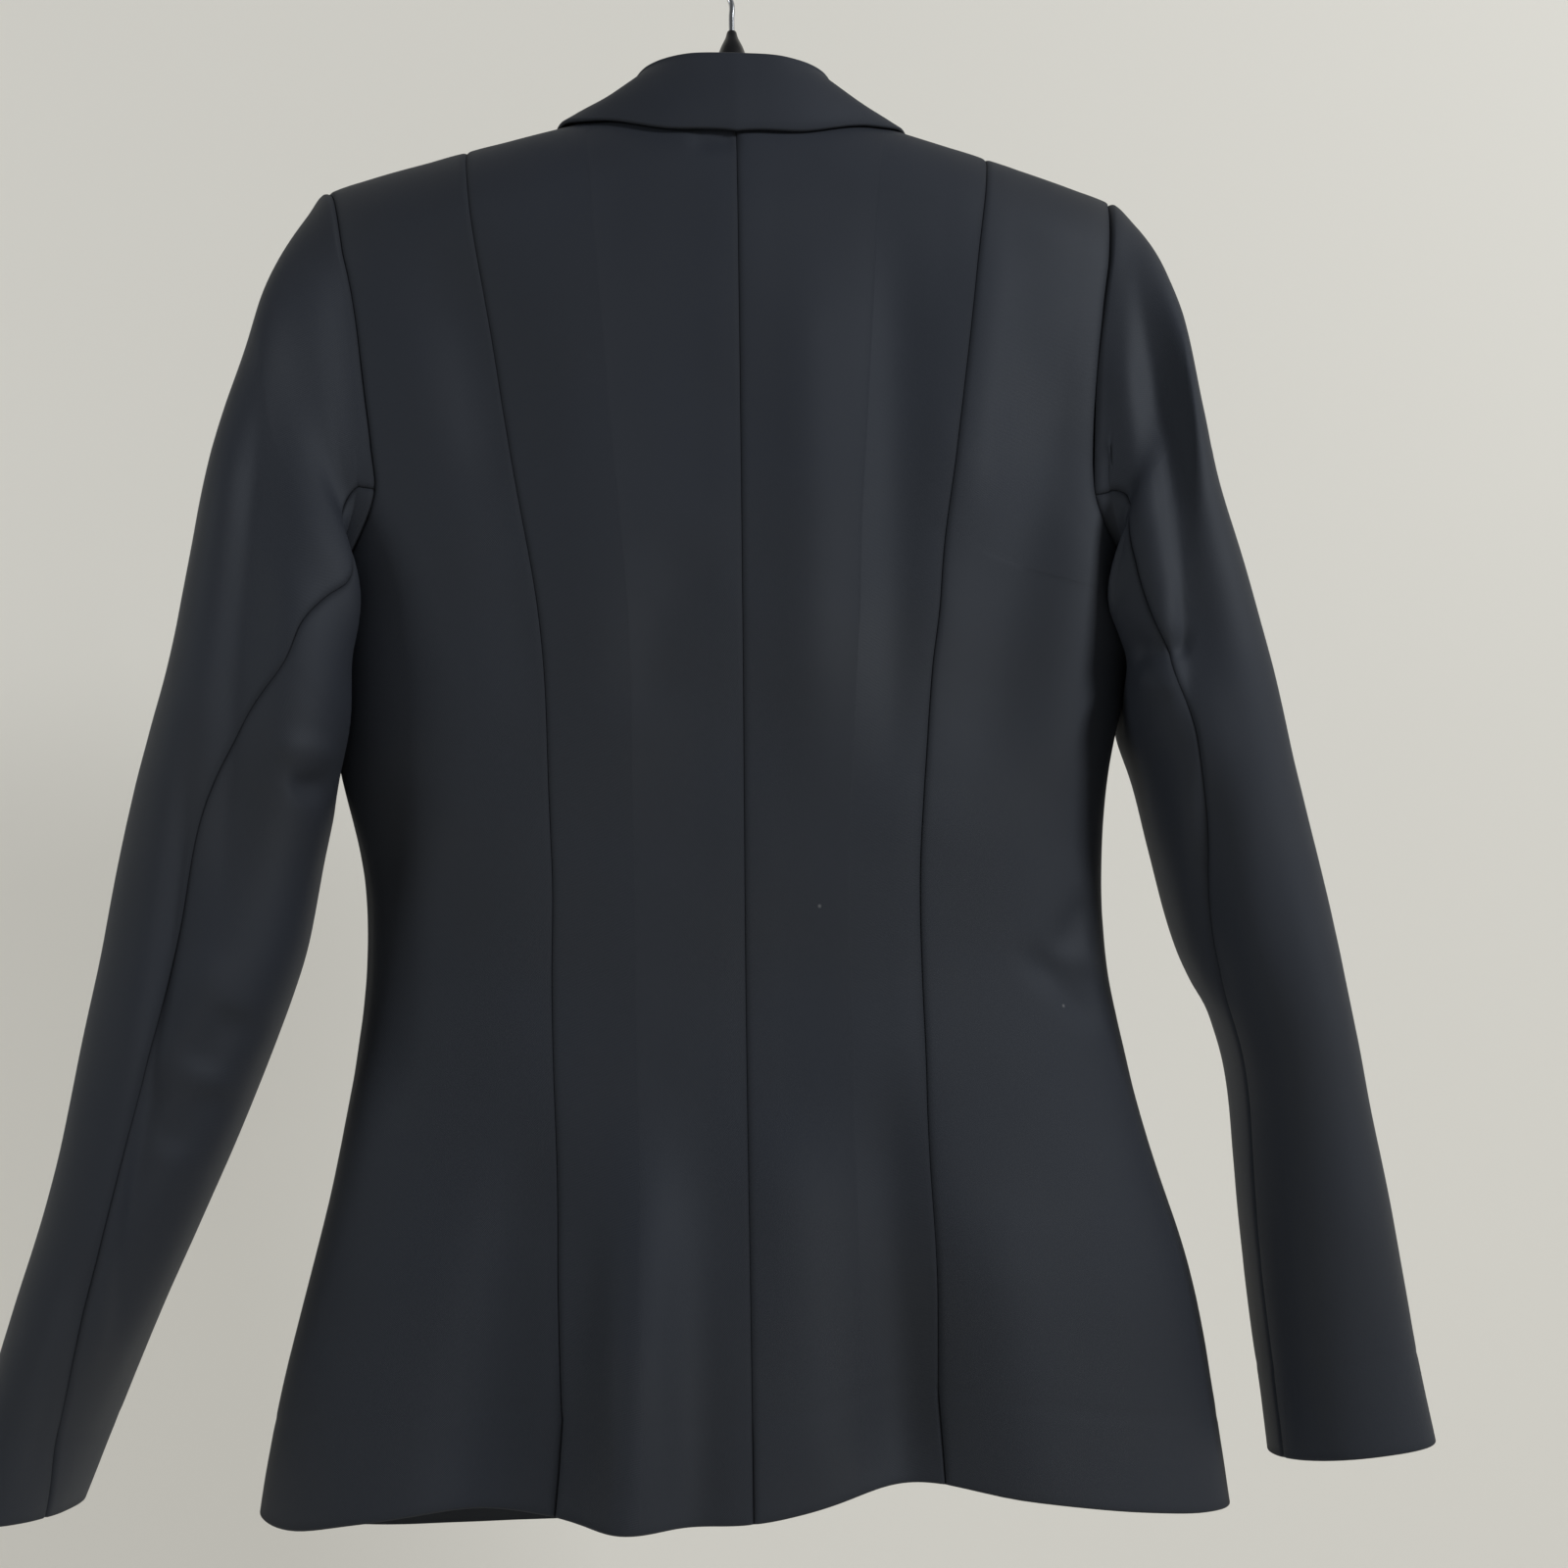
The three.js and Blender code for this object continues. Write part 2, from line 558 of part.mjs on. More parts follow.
// How far in the under-lap lies, so that it passes under the over-lap.
function underlapIn(x, way) {
  const deep = mix(UNDERLAP_IN.above, UNDERLAP_IN.below, ease((way - UNDERLAP_IN.from) / UNDERLAP_IN.over));
  return deep * ease((UNDERLAP_EDGE.start - x) / (UNDERLAP_EDGE.start - UNDERLAP_EDGE.full));
}

// Front panel: from the side seam and the armhole to the roll of the lapel and the closing edge.
function frontPlace(side) {
  const s = signOf(side);
  return (column, row) => {
    const nominal = wayOfRow(row, s * FRONT_MIDDLE_TURN);
    const outer = row.share === undefined ? s * (180 - armholeTurn(side, "front", nominal)) : s * 90;
    const inner = turnAtX(side, frontInnerX(row, nominal), nominal, true);
    const turn = mix(outer, inner, column);
    const rowWay = wayOfRow(row, turn);
    const way = row.way === 0 ? wayMoved(turn, 0, SEAM / 2) : rowWay;
    const atSide = column === 0 && row.way === undefined;
    const moved = atSide ? turnMoved(turn, way, (s * SEAM) / 2) : turn;
    const spot = onTorso(moved, way);
    if (side === "left") spot.point.addScaledVector(spot.normal, -underlapIn(spot.point.x, way));
    return spot;
  };
}
const front = (side) => wallMesh(`front_${side}`, SUITING, frontPlace(side), FRONT_COLUMNS, TORSO_ROWS);

// Lapel: turned back on the front, from its roll to its outer edge and from the gorge to the break.
function lapel(side) {
  const place = (across, along) => {
    const topWay = mix(GORGE_WAY, LAPEL_TIP_WAY, across);
    const way = mix(topWay, LAPEL_END_WAY, along);
    const rollX = frontEdge(way) - ROLL_PAST_EDGE;
    const edgeX = Math.max(lapelEdge(along), rollX + LAPEL_LEAST);
    const spot = onTorso(turnAtX(side, mix(rollX, edgeX, across), way, true), way);
    const bulge = LAPEL_BULGE * Math.sin(Math.PI * across) * (1 - along);
    const inward = side === "left" ? underlapIn(spot.point.x, way) : 0;
    spot.point.addScaledVector(spot.normal, LIE + bulge + CLOTH - inward);
    return spot;
  };
  return wallMesh(`lapel_${side}`, SUITING, place, spread(LAPEL_PARTS.across), spread(LAPEL_PARTS.along));
}

// Collar: a stand that rises from the neck seam, rolls over and falls to its outer edge.
function collar() {
  const section = (at) => {
    const k = Math.abs(at);
    const side = at < 0 ? "right" : "left";
    const seat = (x, way, lift) => {
      const spot = onTorso(turnAtX(side, x, Math.abs(way), way < 0), Math.abs(way));
      return spot.point.addScaledVector(spot.normal, lift);
    };
    const seamWay = collarSeam.way(k);
    const alongFront = frontEdge(-seamWay) - STAND_INSIDE * ease(-seamWay / STAND_EASE);
    const seam = seat(seamWay >= 0 ? collarSeam.x(k) : alongFront, seamWay, 0);
    seam.z += STAND_ABOVE;
    const edge = seat(collarEdge.x(k), collarEdge.way(k), COLLAR_LIFT);
    const rollX = collarRoll.x(k);
    const roll = new THREE.Vector3(signOf(side) * rollX, collarRoll.y(k), -collarRoll.down(k) - ROLL_RADIUS);
    const out = edge.clone().sub(roll).setZ(0).normalize();
    const ring = ROLL_ANGLES.map((angle) => {
      const reach = ROLL_RADIUS * Math.cos(angle * RADIANS);
      const rise = ROLL_RADIUS * Math.sin(angle * RADIANS);
      return roll.clone().addScaledVector(out, reach).add(new THREE.Vector3(0, 0, rise));
    });
    const standMid = seam.clone().lerp(ring[0], 0.5);
    const lying = ease((k - FALL_LIES.from) / FALL_LIES.over);
    const fall = FALL_SHARES.map((f) => {
      const hanging = ring.at(-1).clone().lerp(edge, f);
      hanging.addScaledVector(out, FALL_BULGE * Math.sin(Math.PI * f));
      const x = mix(rollX + ROLL_RADIUS, collarEdge.x(k), f);
      const laid = seat(x, mix(collarRoll.way(k), collarEdge.way(k), f), COLLAR_LIFT + FALL_ROUND);
      return hanging.lerp(laid, lying);
    });
    return [seam, standMid, ...ring, ...fall, edge];
  };
  const points = 3 + ROLL_ANGLES.length + FALL_SHARES.length;
  const at = (k, q) => {
    const row = section(k);
    const i = Math.min(points - 2, Math.floor(q));
    return row[i].clone().lerp(row[i + 1], q - i);
  };
  const place = (k, q) => {
    const across = at(Math.min(1, k + COLLAR_STEP), q).sub(at(Math.max(-1, k - COLLAR_STEP), q));
    const along = at(k, Math.min(points - 1, q + 0.5)).sub(at(k, Math.max(0, q - 0.5)));
    return { point: at(k, q), normal: across.cross(along).normalize() };
  };
  const both = [...COLLAR_COLUMNS.slice(1).map((k) => -k).reverse(), ...COLLAR_COLUMNS];
  const rows = Array.from({ length: points }, (_, i) => i);
  return wallMesh("collar", SUITING, place, both, rows, COLLAR_CLOTH);
}

// One point of an armhole: q counts the torso's rows from the shoulder, + on the back, - on the front,
// and past the underarm it carries on up the other face.
const UNDERARM_ROW = ARM_ROWS.length - 1;
function armholeSpot(side, q) {
  const folded = q > UNDERARM_ROW ? q - 2 * UNDERARM_ROW : q;
  const face = folded >= 0 ? "back" : "front";
  const i = Math.min(UNDERARM_ROW - 1, Math.floor(Math.abs(folded)));
  const t = Math.abs(folded) - i;
  const way = mix(ARM_ROWS[i].way, ARM_ROWS[i + 1].way, t);
  const ring = Math.sign(folded || 1) * mix(ARM_ROWS[i].turn, ARM_ROWS[i + 1].turn, t);
  const turn = armholeTurn(side, face, way);
  return { way, ring, turn: signOf(side) * (face === "back" ? turn : 180 - turn) };
}

const lapAt = reader(LAP, "ring", "reach");
const sleeveColumns = Object.keys(SLEEVE.left[0]);
const numbered = (rows) => rows.map((row, i) => ({ ...row, ring: i }));
const sleeveAt = {
  left: readers(numbered(SLEEVE.left), "ring", sleeveColumns),
  right: readers(numbered(SLEEVE.right), "ring", sleeveColumns),
};

function sleeveFold(side, ring, turn) {
  return SLEEVE_FOLDS.filter((f) => f.side === side).reduce((sum, f) => {
    const along = (ring - f.from) / (f.to - f.from);
    const centre = mix(f.turnFrom, f.turnTo, clamp(along));
    const grown = ease(along * 4) * ease((1 - along) * 4);
    return sum + f.depth * bell((turn - centre) / f.wide) * grown;
  }, 0);
}

// Holds a sleeve point just clear of the torso's side, below the widest stretch of the armhole.
function clearOfTorso(side, ring, point) {
  const down = -point.z;
  const onBack = point.y >= 0;
  const depth = (onBack ? body.back(down) : body.front(down)) + SLEEVE_CLEAR;
  const share = Math.abs(point.y) / depth;
  if (share >= 1 || down < CLEAR_FROM_DOWN) return point;
  const square = body.square(down);
  const beside = (body[side](down) + SLEEVE_CLEAR) * (1 - share ** square) ** (1 / square);
  const edge = unitSection(armholeTurn(side, onBack ? "back" : "front", down - SHOULDER_DOWN), square)[1];
  const held = ease((share - edge) / CLEAR_EASE + 1) * ease(ring / CLEAR_RINGS);
  const x = Math.abs(point.x);
  const soft = (x + beside + Math.hypot(x - beside, CLEAR_SOFT)) / 2;
  point.x = signOf(side) * mix(x, soft, held);
  return point;
}

// Share of the hind-arm seam's swing at a turn round the sleeve: 1 at that seam, 0 on the top of the
// sleeve's front half and at the fore-arm seam.
const HIND_TURN = ARM_ROWS[HIND_ARM_ROW].turn;
const FORE_TURN = 360 - ARM_ROWS[FORE_ARM_ROW].turn;
function nearHindSeam(turn) {
  const round = turn < FORE_TURN - FULL_TURN - TURN_SLACK ? turn + FULL_TURN : turn;
  if (round <= HIND_TURN) return ease(round / HIND_TURN);
  return 1 - ease((round - HIND_TURN) / (FORE_TURN - HIND_TURN));
}

// The sleeve's outer surface: q runs round it from the shoulder, ring from the armhole to the cuff.
function sleevePoint(side, q, ring) {
  const s = signOf(side);
  const c = Object.fromEntries(sleeveColumns.map((name) => [name, sleeveAt[side][name](ring)]));
  const hole = armholeSpot(side, q);
  const turn = hole.ring + c.swing * nearHindSeam(hole.ring);
  const [deepShare, outShare] = unitSection(turn, c.square);
  const middle = new THREE.Vector3((c.outX + c.inX) / 2, c.midY, -(c.outDown + c.inDown) / 2);
  const half = new THREE.Vector3((c.outX - c.inX) / 2, 0, -(c.outDown - c.inDown) / 2);
  const fold = sleeveFold(side, ring, turn);
  const section = middle.addScaledVector(half, outShare * (1 + fold / FOLD_REACH));
  section.y += (c.deep + fold) * deepShare;
  section.x -= lapAt(ring) * bell((turn - LAP_TURN.at) / LAP_TURN.wide);
  section.z += CUFF_RISE.by * deepShare * ease((ring - CUFF_RISE.from) / CUFF_RISE.over);
  section.x *= s;
  const seam = torso(hole.turn, hole.way);
  return clearOfTorso(side, ring, seam.lerp(section, ease(ring / SEAM_BLEND)));
}

function sleeveSpot(side, q, ring) {
  const s = signOf(side);
  const point = sleevePoint(side, q, ring);
  const hole = armholeSpot(side, q);
  const acrossAt = (r) =>
    sleevePoint(side, wrapRow(q + RING_STEP), r).sub(sleevePoint(side, wrapRow(q - RING_STEP), r));
  const below = sleevePoint(side, q, Math.min(SLEEVE.left.length - 1, ring + RING_STEP));
  const along = below.sub(sleevePoint(side, q, Math.max(0, ring - RING_STEP)));
  const own = along.cross(acrossAt(ring)).multiplyScalar(s).normalize();
  const shared = torsoNormal(hole.turn, hole.way);
  const normal = shared.clone().lerp(own, ease(ring / SHARED_RINGS)).normalize();
  if (ring === 0) {
    const away = acrossAt(0).cross(shared).multiplyScalar(s).normalize();
    point.copy(torso(hole.turn, hole.way)).addScaledVector(away, SEAM);
  }
  return { point, normal };
}

function wrapRow(q) {
  if (q > 2 * UNDERARM_ROW) return q - 2 * UNDERARM_ROW;
  if (q < -UNDERARM_ROW) return q + 2 * UNDERARM_ROW;
  return q;
}

// One of a sleeve's two panels, between two rows of the armhole and half a seam's gap in from both.
function sleevePanel(name, side, from, to) {
  const rings = SLEEVE.left.map((_, i) => i);
  const columns = Array.from({ length: to - from + 1 }, (_, i) => from + i);
  columns[0] += SLEEVE_SEAM_ROWS;
  columns[columns.length - 1] -= SLEEVE_SEAM_ROWS;
  return wallMesh(name, SUITING, (q, ring) => sleeveSpot(side, q, ring), columns, rings);
}

// Four-hole button on the closing edge, its face to the front.
function button() {
  const shape = new THREE.Shape().absarc(0, 0, BUTTON_RADIUS - BUTTON_BEVEL, 0, 2 * Math.PI);
  [45, 135, 225, 315].forEach((angle) => {
    const x = BUTTON_HOLE.reach * Math.cos(angle * RADIANS);
    const y = BUTTON_HOLE.reach * Math.sin(angle * RADIANS);
    shape.holes.push(new THREE.Path().absarc(x, y, BUTTON_HOLE.radius, 0, 2 * Math.PI, true));
  });
  const bevel = { bevelSize: BUTTON_BEVEL, bevelThickness: BUTTON_BEVEL, bevelSegments: 1 };
  const options = { depth: BUTTON_THICK - 2 * BUTTON_BEVEL, curveSegments: 8, ...bevel };
  const geometry = new THREE.ExtrudeGeometry(shape, options);
  const mesh = named("button", geometry, BLACK_PLASTIC);
  const spot = onTorso(180, BUTTON_DOWN - ridgeDown(0));
  mesh.position.copy(spot.point.addScaledVector(spot.normal, BUTTON_OFF + BUTTON_BEVEL));
  mesh.quaternion.setFromUnitVectors(new THREE.Vector3(0, 0, 1), spot.normal);
  return mesh;
}

// A round bar along a path that lies in the plane of the shoulders.
function barAlong(name, points, radius, steps, finish) {
  const path = new THREE.CatmullRomCurve3(points);
  const section = new THREE.Shape().absarc(0, 0, radius, 0, 2 * Math.PI);
  const options = { steps, curveSegments: BAR_SIDES / 2, bevelEnabled: false, extrudePath: path };
  return named(name, new THREE.ExtrudeGeometry(section, options), finish);
}

// Shoulder bar: under the shoulder seams, arched up to the neck in the middle.
function hangerBar() {
  const under = (x) => ridgeDown(x) + CLOTH + BAR_RADIUS + BAR_CLEAR;
  const half = BAR_SHOULDER.map((x) => new THREE.Vector3(x, 0, -under(x)));
  half.push(...BAR_ARCH.map(({ x, down }) => new THREE.Vector3(x, 0, -down)));
  const other = half.map((p) => new THREE.Vector3(-p.x, 0, p.z)).reverse();
  const top = new THREE.Vector3(0, 0, -(CONE_FOOT_DOWN + BAR_RADIUS));
  return barAlong("hanger_bar", [...half, top, ...other], BAR_RADIUS, 36, BLACK_PLASTIC);
}

// Neck cone: stands on the bar and holds the hook's stem.
function hangerNeck() {
  const foot = new THREE.Vector2(0, -CONE_FOOT_DOWN + SEAM);
  const tip = new THREE.Vector2(0, -CONE_TIP_DOWN - SEAM);
  const rim = CONE.map(({ down, radius }) => new THREE.Vector2(radius, -down));
  const turned = new THREE.LatheGeometry([foot, ...rim, tip], CONE_SIDES);
  return named("hanger_neck", turned.rotateX(90 * RADIANS), BLACK_PLASTIC);
}

// Hook: a stem with an offset bend into a round hook whose inside top is the origin.
function hangerHook() {
  const ring = HOOK_INSIDE + HOOK_WIRE;
  const onRing = (angle) =>
    new THREE.Vector3(ring * Math.cos(angle * RADIANS), 0, ring * Math.sin(angle * RADIANS) - HOOK_INSIDE);
  const stem = STEM.map(({ x, down }) => new THREE.Vector3(x, 0, -down));
  return barAlong("hanger_hook", [...stem, ...HOOK_ANGLES.map(onRing)], HOOK_WIRE, 44, BRIGHT_STEEL);
}

const blazer = new THREE.Group();
["left", "right"].forEach((side) => {
  blazer.add(backCentre(side));
  blazer.add(backSide(side));
  blazer.add(front(side));
  blazer.add(lapel(side));
  blazer.add(sleevePanel(`top_sleeve_${side}`, side, -FORE_ARM_ROW, HIND_ARM_ROW));
  blazer.add(sleevePanel(`under_sleeve_${side}`, side, HIND_ARM_ROW, 2 * UNDERARM_ROW - FORE_ARM_ROW));
});
blazer.add(collar());
blazer.add(button());

const hanger = new THREE.Group();
hanger.add(hangerBar());
hanger.add(hangerNeck());
hanger.add(hangerHook());
blazer.add(hanger);

export default blazer;
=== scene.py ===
"""A long-line fitted blazer on a plain plastic hanger, seen from behind.

The tables hold millimetres in the row's frame: the origin is the inside top of the hook, +Z is up, the
back faces +Y and the wearer's left is +X. "down" is a height below the origin, "turn" the angle round the
torso from the centre back, and "way" the way down the cloth from the shoulder seam.
"""
import math

import bmesh
import bpy
import numpy as np
from bpy.props import FloatProperty, FloatVectorProperty, PointerProperty
from mathutils import Matrix, Vector


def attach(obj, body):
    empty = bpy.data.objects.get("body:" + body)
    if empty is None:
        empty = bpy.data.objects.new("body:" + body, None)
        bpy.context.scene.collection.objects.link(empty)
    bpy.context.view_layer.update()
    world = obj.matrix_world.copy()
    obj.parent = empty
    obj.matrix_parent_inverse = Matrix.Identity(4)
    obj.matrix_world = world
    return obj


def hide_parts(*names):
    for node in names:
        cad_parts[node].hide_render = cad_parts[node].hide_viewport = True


bl_info = {
    "name": "Blazer on a Hanger",
    "version": (1, 0, 0),
    "blender": (4, 5, 0),
    "location": "3D View > Sidebar > Blazer",
    "description": "Builds a fitted blazer on a plain hanger over its packed model",
    "category": "Add Mesh",
}

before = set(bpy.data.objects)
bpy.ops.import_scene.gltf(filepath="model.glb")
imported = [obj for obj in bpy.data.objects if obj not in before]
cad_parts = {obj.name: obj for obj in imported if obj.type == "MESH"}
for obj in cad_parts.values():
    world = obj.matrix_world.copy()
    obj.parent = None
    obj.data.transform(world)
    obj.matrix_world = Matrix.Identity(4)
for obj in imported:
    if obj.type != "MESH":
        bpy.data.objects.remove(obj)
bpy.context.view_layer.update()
MM = 0.001


def table(columns, *rows):
    """A table of named columns, with a row for each section, seam or fold."""
    return dict(zip(columns.split(), np.array(rows, float).T))


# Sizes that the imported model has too.
SEAM_TUCK = 0.06
SHOULDER_X, SHOULDER_DOWN, SHOULDER_SLOPE = 190, 161, 0.31
NECK_ROUND, RIDGE_FALL, NECK_X, NAPE_WAY, NECK_TAPER = 30, 50, 72, 34, 105
PRINCESS_RISE = 15
ARMHOLE_DEEP, ARMHOLE_WAIST, ARMHOLE_TOP_SHARE, ARMHOLE_BEND = 210, 160, 0.95, 2.2
ARMHOLE_SHARE = {"left": (0.807, 0.79), "right": (0.842, 0.815)}
LIE, MODEL_CLOTH = 0.9, 1.6
UNDERLAP_ABOVE, UNDERLAP_BELOW, UNDERLAP_FROM, UNDERLAP_OVER = 5.4, 2.6, 370, 60
UNDERLAP_EDGE, UNDERLAP_EASE = 48, 25
CORNER_FROM, CORNER_OVER, CORNER_ROUND = 0.965, 0.035, 14

BODY = table(
    "down left right back front square",
    (100, 205, 195, 42, 36, 3.2),
    (160, 205, 195, 46, 42, 3.2),
    (200, 205, 195, 50, 48, 3.2),
    (270, 204, 194, 54, 56, 3.1),
    (330, 196, 191, 56, 60, 2.9),
    (370, 189, 188, 56, 60, 2.7),
    (400, 185, 180, 55, 58, 2.6),
    (440, 180, 172, 52, 55, 2.5),
    (490, 169.5, 167.5, 48, 50, 2.4),
    (530, 167, 168.5, 46, 47, 2.3),
    (565, 169.5, 174, 48, 47, 2.3),
    (615, 177.5, 184.5, 52, 51, 2.3),
    (665, 189, 197, 57, 56, 2.3),
    (720, 201, 206, 61, 60, 2.2),
    (785, 210, 213, 65, 62, 2.2),
)
PRINCESS = table(
    "down left right",
    (120, 0.63, 0.645),
    (200, 0.585, 0.575),
    (265, 0.535, 0.53),
    (320, 0.505, 0.495),
    (365, 0.48, 0.47),
    (410, 0.465, 0.465),
    (455, 0.465, 0.465),
    (505, 0.48, 0.455),
    (565, 0.49, 0.45),
    (640, 0.45, 0.42),
    (745, 0.385, 0.38),
)
HEM_FOLDS = table(
    "at wide depth start",
    (0.25, 0.1, 18, 560),
    (0.52, 0.13, -6, 600),
    (0.8, 0.12, 4, 620),
    (0.02, 0.1, 4, 600),
    (-0.32, 0.15, -14, 570),
    (-0.62, 0.15, 2, 620),
)
HEM_FOLDS_FULL, HEM_LEVEL = 740, 760
HEM = table(
    "turn down",
    (-190, 766),
    (-135, 766),
    (-90, 764),
    (-63, 760),
    (-48, 754.5),
    (-31, 745.5),
    (-18, 740),
    (0, 747),
    (14, 745.5),
    (30, 743),
    (48, 748),
    (63, 754),
    (90, 755),
    (135, 775),
    (190, 780),
)
# Rows of the armhole from the shoulder (0) to the underarm (12), and on up its other side.
ARM_ROWS = table(
    "row way turn",
    (0, 0, 0),
    (1, 12, 10),
    (2, 25, 20),
    (3, 38, 31),
    (4, 50, 42),
    (5, 75, 58),
    (6, 105, 75),
    (7, 140, 93),
    (8, 165, 109),
    (9, 187, 127),
    (10, 201, 146),
    (11, 208, 163),
    (12, 210, 180),
    (13, 208, 197),
)
UNDERARM_ROW, HIND_ARM_ROW, FORE_ARM_ROW = 12, 8, 8
FRONT_EDGE = table(
    "way x",
    (0, 72),
    (25, 66),
    (50, 60),
    (105, 48),
    (200, 26),
    (300, 0),
    (340, -13),
    (362, -20),
)
COLLAR_SEAM = table(
    "at x way",
    (0, 0, 34),
    (0.14, 26, 32),
    (0.28, 50, 24),
    (0.4, 66, 13),
    (0.5, 71.5, 0),
    (0.62, 68.5, -16),
    (0.8, 64, -34),
    (1, 60, -50),
)
COLLAR_ROLL = table(
    "at x y down way",
    (0, 0, 38, 105.5, 36),
    (0.14, 22, 36, 105, 35),
    (0.28, 39, 26, 104.5, 27),
    (0.4, 47.5, 12, 107, 13),
    (0.5, 52, -1, 111, 0),
    (0.62, 53, -20, 119, -15),
    (0.8, 56, -36, 136, -30),
    (1, 58, -47, 160, -46),
)
COLLAR_EDGE = table(
    "at x way",
    (0, 0, 43),
    (0.14, 32, 39),
    (0.28, 59, 28),
    (0.4, 77, 18),
    (0.5, 87, -2),
    (0.62, 92, -20),
    (0.8, 97, -40),
    (1, 96, -58),
)
ROLL_RADIUS, COLLAR_LIFT, FALL_BULGE, STAND_ABOVE, STAND_INSIDE = 3.4, 3.0, 2.6, 0.8, 2.6
FALL_LIES = (0.5, 0.25)
LAPEL = table("at x", (0, 112), (0.12, 110), (0.3, 101), (0.55, 76), (0.8, 32), (1, -15))
GORGE_WAY, LAPEL_TIP_WAY, LAPEL_END_WAY, LAPEL_BULGE, LAPEL_LEAST = 53, 74, 360, 2.4, 6
SLEEVE_COLUMNS = "ring outX outDown inX inDown midY deep square swing"
SLEEVE = {
    "left": table(
        SLEEVE_COLUMNS,
        (0, 195, 161, 189, 373, 0, 40, 2.4, 0),
        (1, 201, 172, 192, 374, 2, 42, 2.4, 5),
        (2, 208, 189, 192, 377, 6, 44, 2.4, 14),
        (3, 213, 212, 188, 381, 12, 45, 2.4, 20),
        (4, 219, 244, 181, 387, 16, 46, 2.5, 20),
        (5, 227, 277, 174, 396, 20, 46, 2.6, 15),
        (6, 234, 314, 170, 408, 24, 46, 2.6, 9),
        (7, 241, 358, 170, 424, 25, 46, 2.6, 3),
        (8, 250, 408, 175, 445, 25, 45, 2.5, -14),
        (9, 261, 458, 182, 476, 22, 43, 2.4, -25),
        (10, 271, 508, 191, 518, 18, 41, 2.3, -23),
        (11, 280, 558, 208, 566, 15, 41, 2.3, -19),
        (12, 289, 610, 228, 616, 12, 41, 2.3, -12),
        (13, 302, 662, 249, 664, 10, 42, 2.2, 4),
        (14, 312, 706, 268, 708, 9, 43, 2.2, 26),
        (15, 321, 748, 284, 749, 8, 44, 2.2, 45),
    ),
    "right": table(
        SLEEVE_COLUMNS,
        (0, 186, 161, 188, 373, 0, 40, 2.4, 0),
        (1, 194, 171, 191, 374, 2, 42, 2.4, 2),
        (2, 203, 186, 191, 377, 5, 44, 2.4, 5),
        (3, 206, 208, 188, 381, 9, 46, 2.4, 9),
        (4, 211, 238, 185, 387, 13, 47, 2.5, 13),
        (5, 215, 272, 180, 396, 16, 48, 2.5, 17),
        (6, 220, 310, 175, 408, 18, 48, 2.5, 15),
        (7, 230, 356, 175, 424, 19, 47, 2.5, 12),
        (8, 241, 404, 180, 445, 20, 46, 2.4, 10),
        (9, 251, 455, 186, 478, 20, 45, 2.3, 20),
        (10, 261, 505, 197, 522, 18, 43, 2.3, 42),
        (11, 270, 555, 216, 567, 16, 42, 2.3, 54),
        (12, 278, 608, 222, 618, 14, 41, 2.3, 58),
        (13, 284, 660, 226, 668, 13, 40, 2.3, 60),
        (14, 290, 702, 229, 709, 12, 39, 2.3, 60),
        (15, 296, 737, 231, 743, 12, 39, 2.3, 60),
    ),
}
LAST_RING = 15
LAP = table("ring reach", (0, 0), (1, 8), (2, 16), (3, 25), (4, 20), (5, 10), (6, 3), (7, 0))
LAP_TURN, LAP_WIDE = 135, 34
CLEAR_FROM_DOWN, CLEAR_RINGS = 300, 0.8
CUFF_RISE, CUFF_RISE_FROM, CUFF_RISE_OVER = 6, 11, 4
SEAM_BLEND, SHARED_RINGS, SLEEVE_CLEAR, CLEAR_SOFT, CLEAR_EASE = 3.5, 1.5, 1.6, 4, 0.25

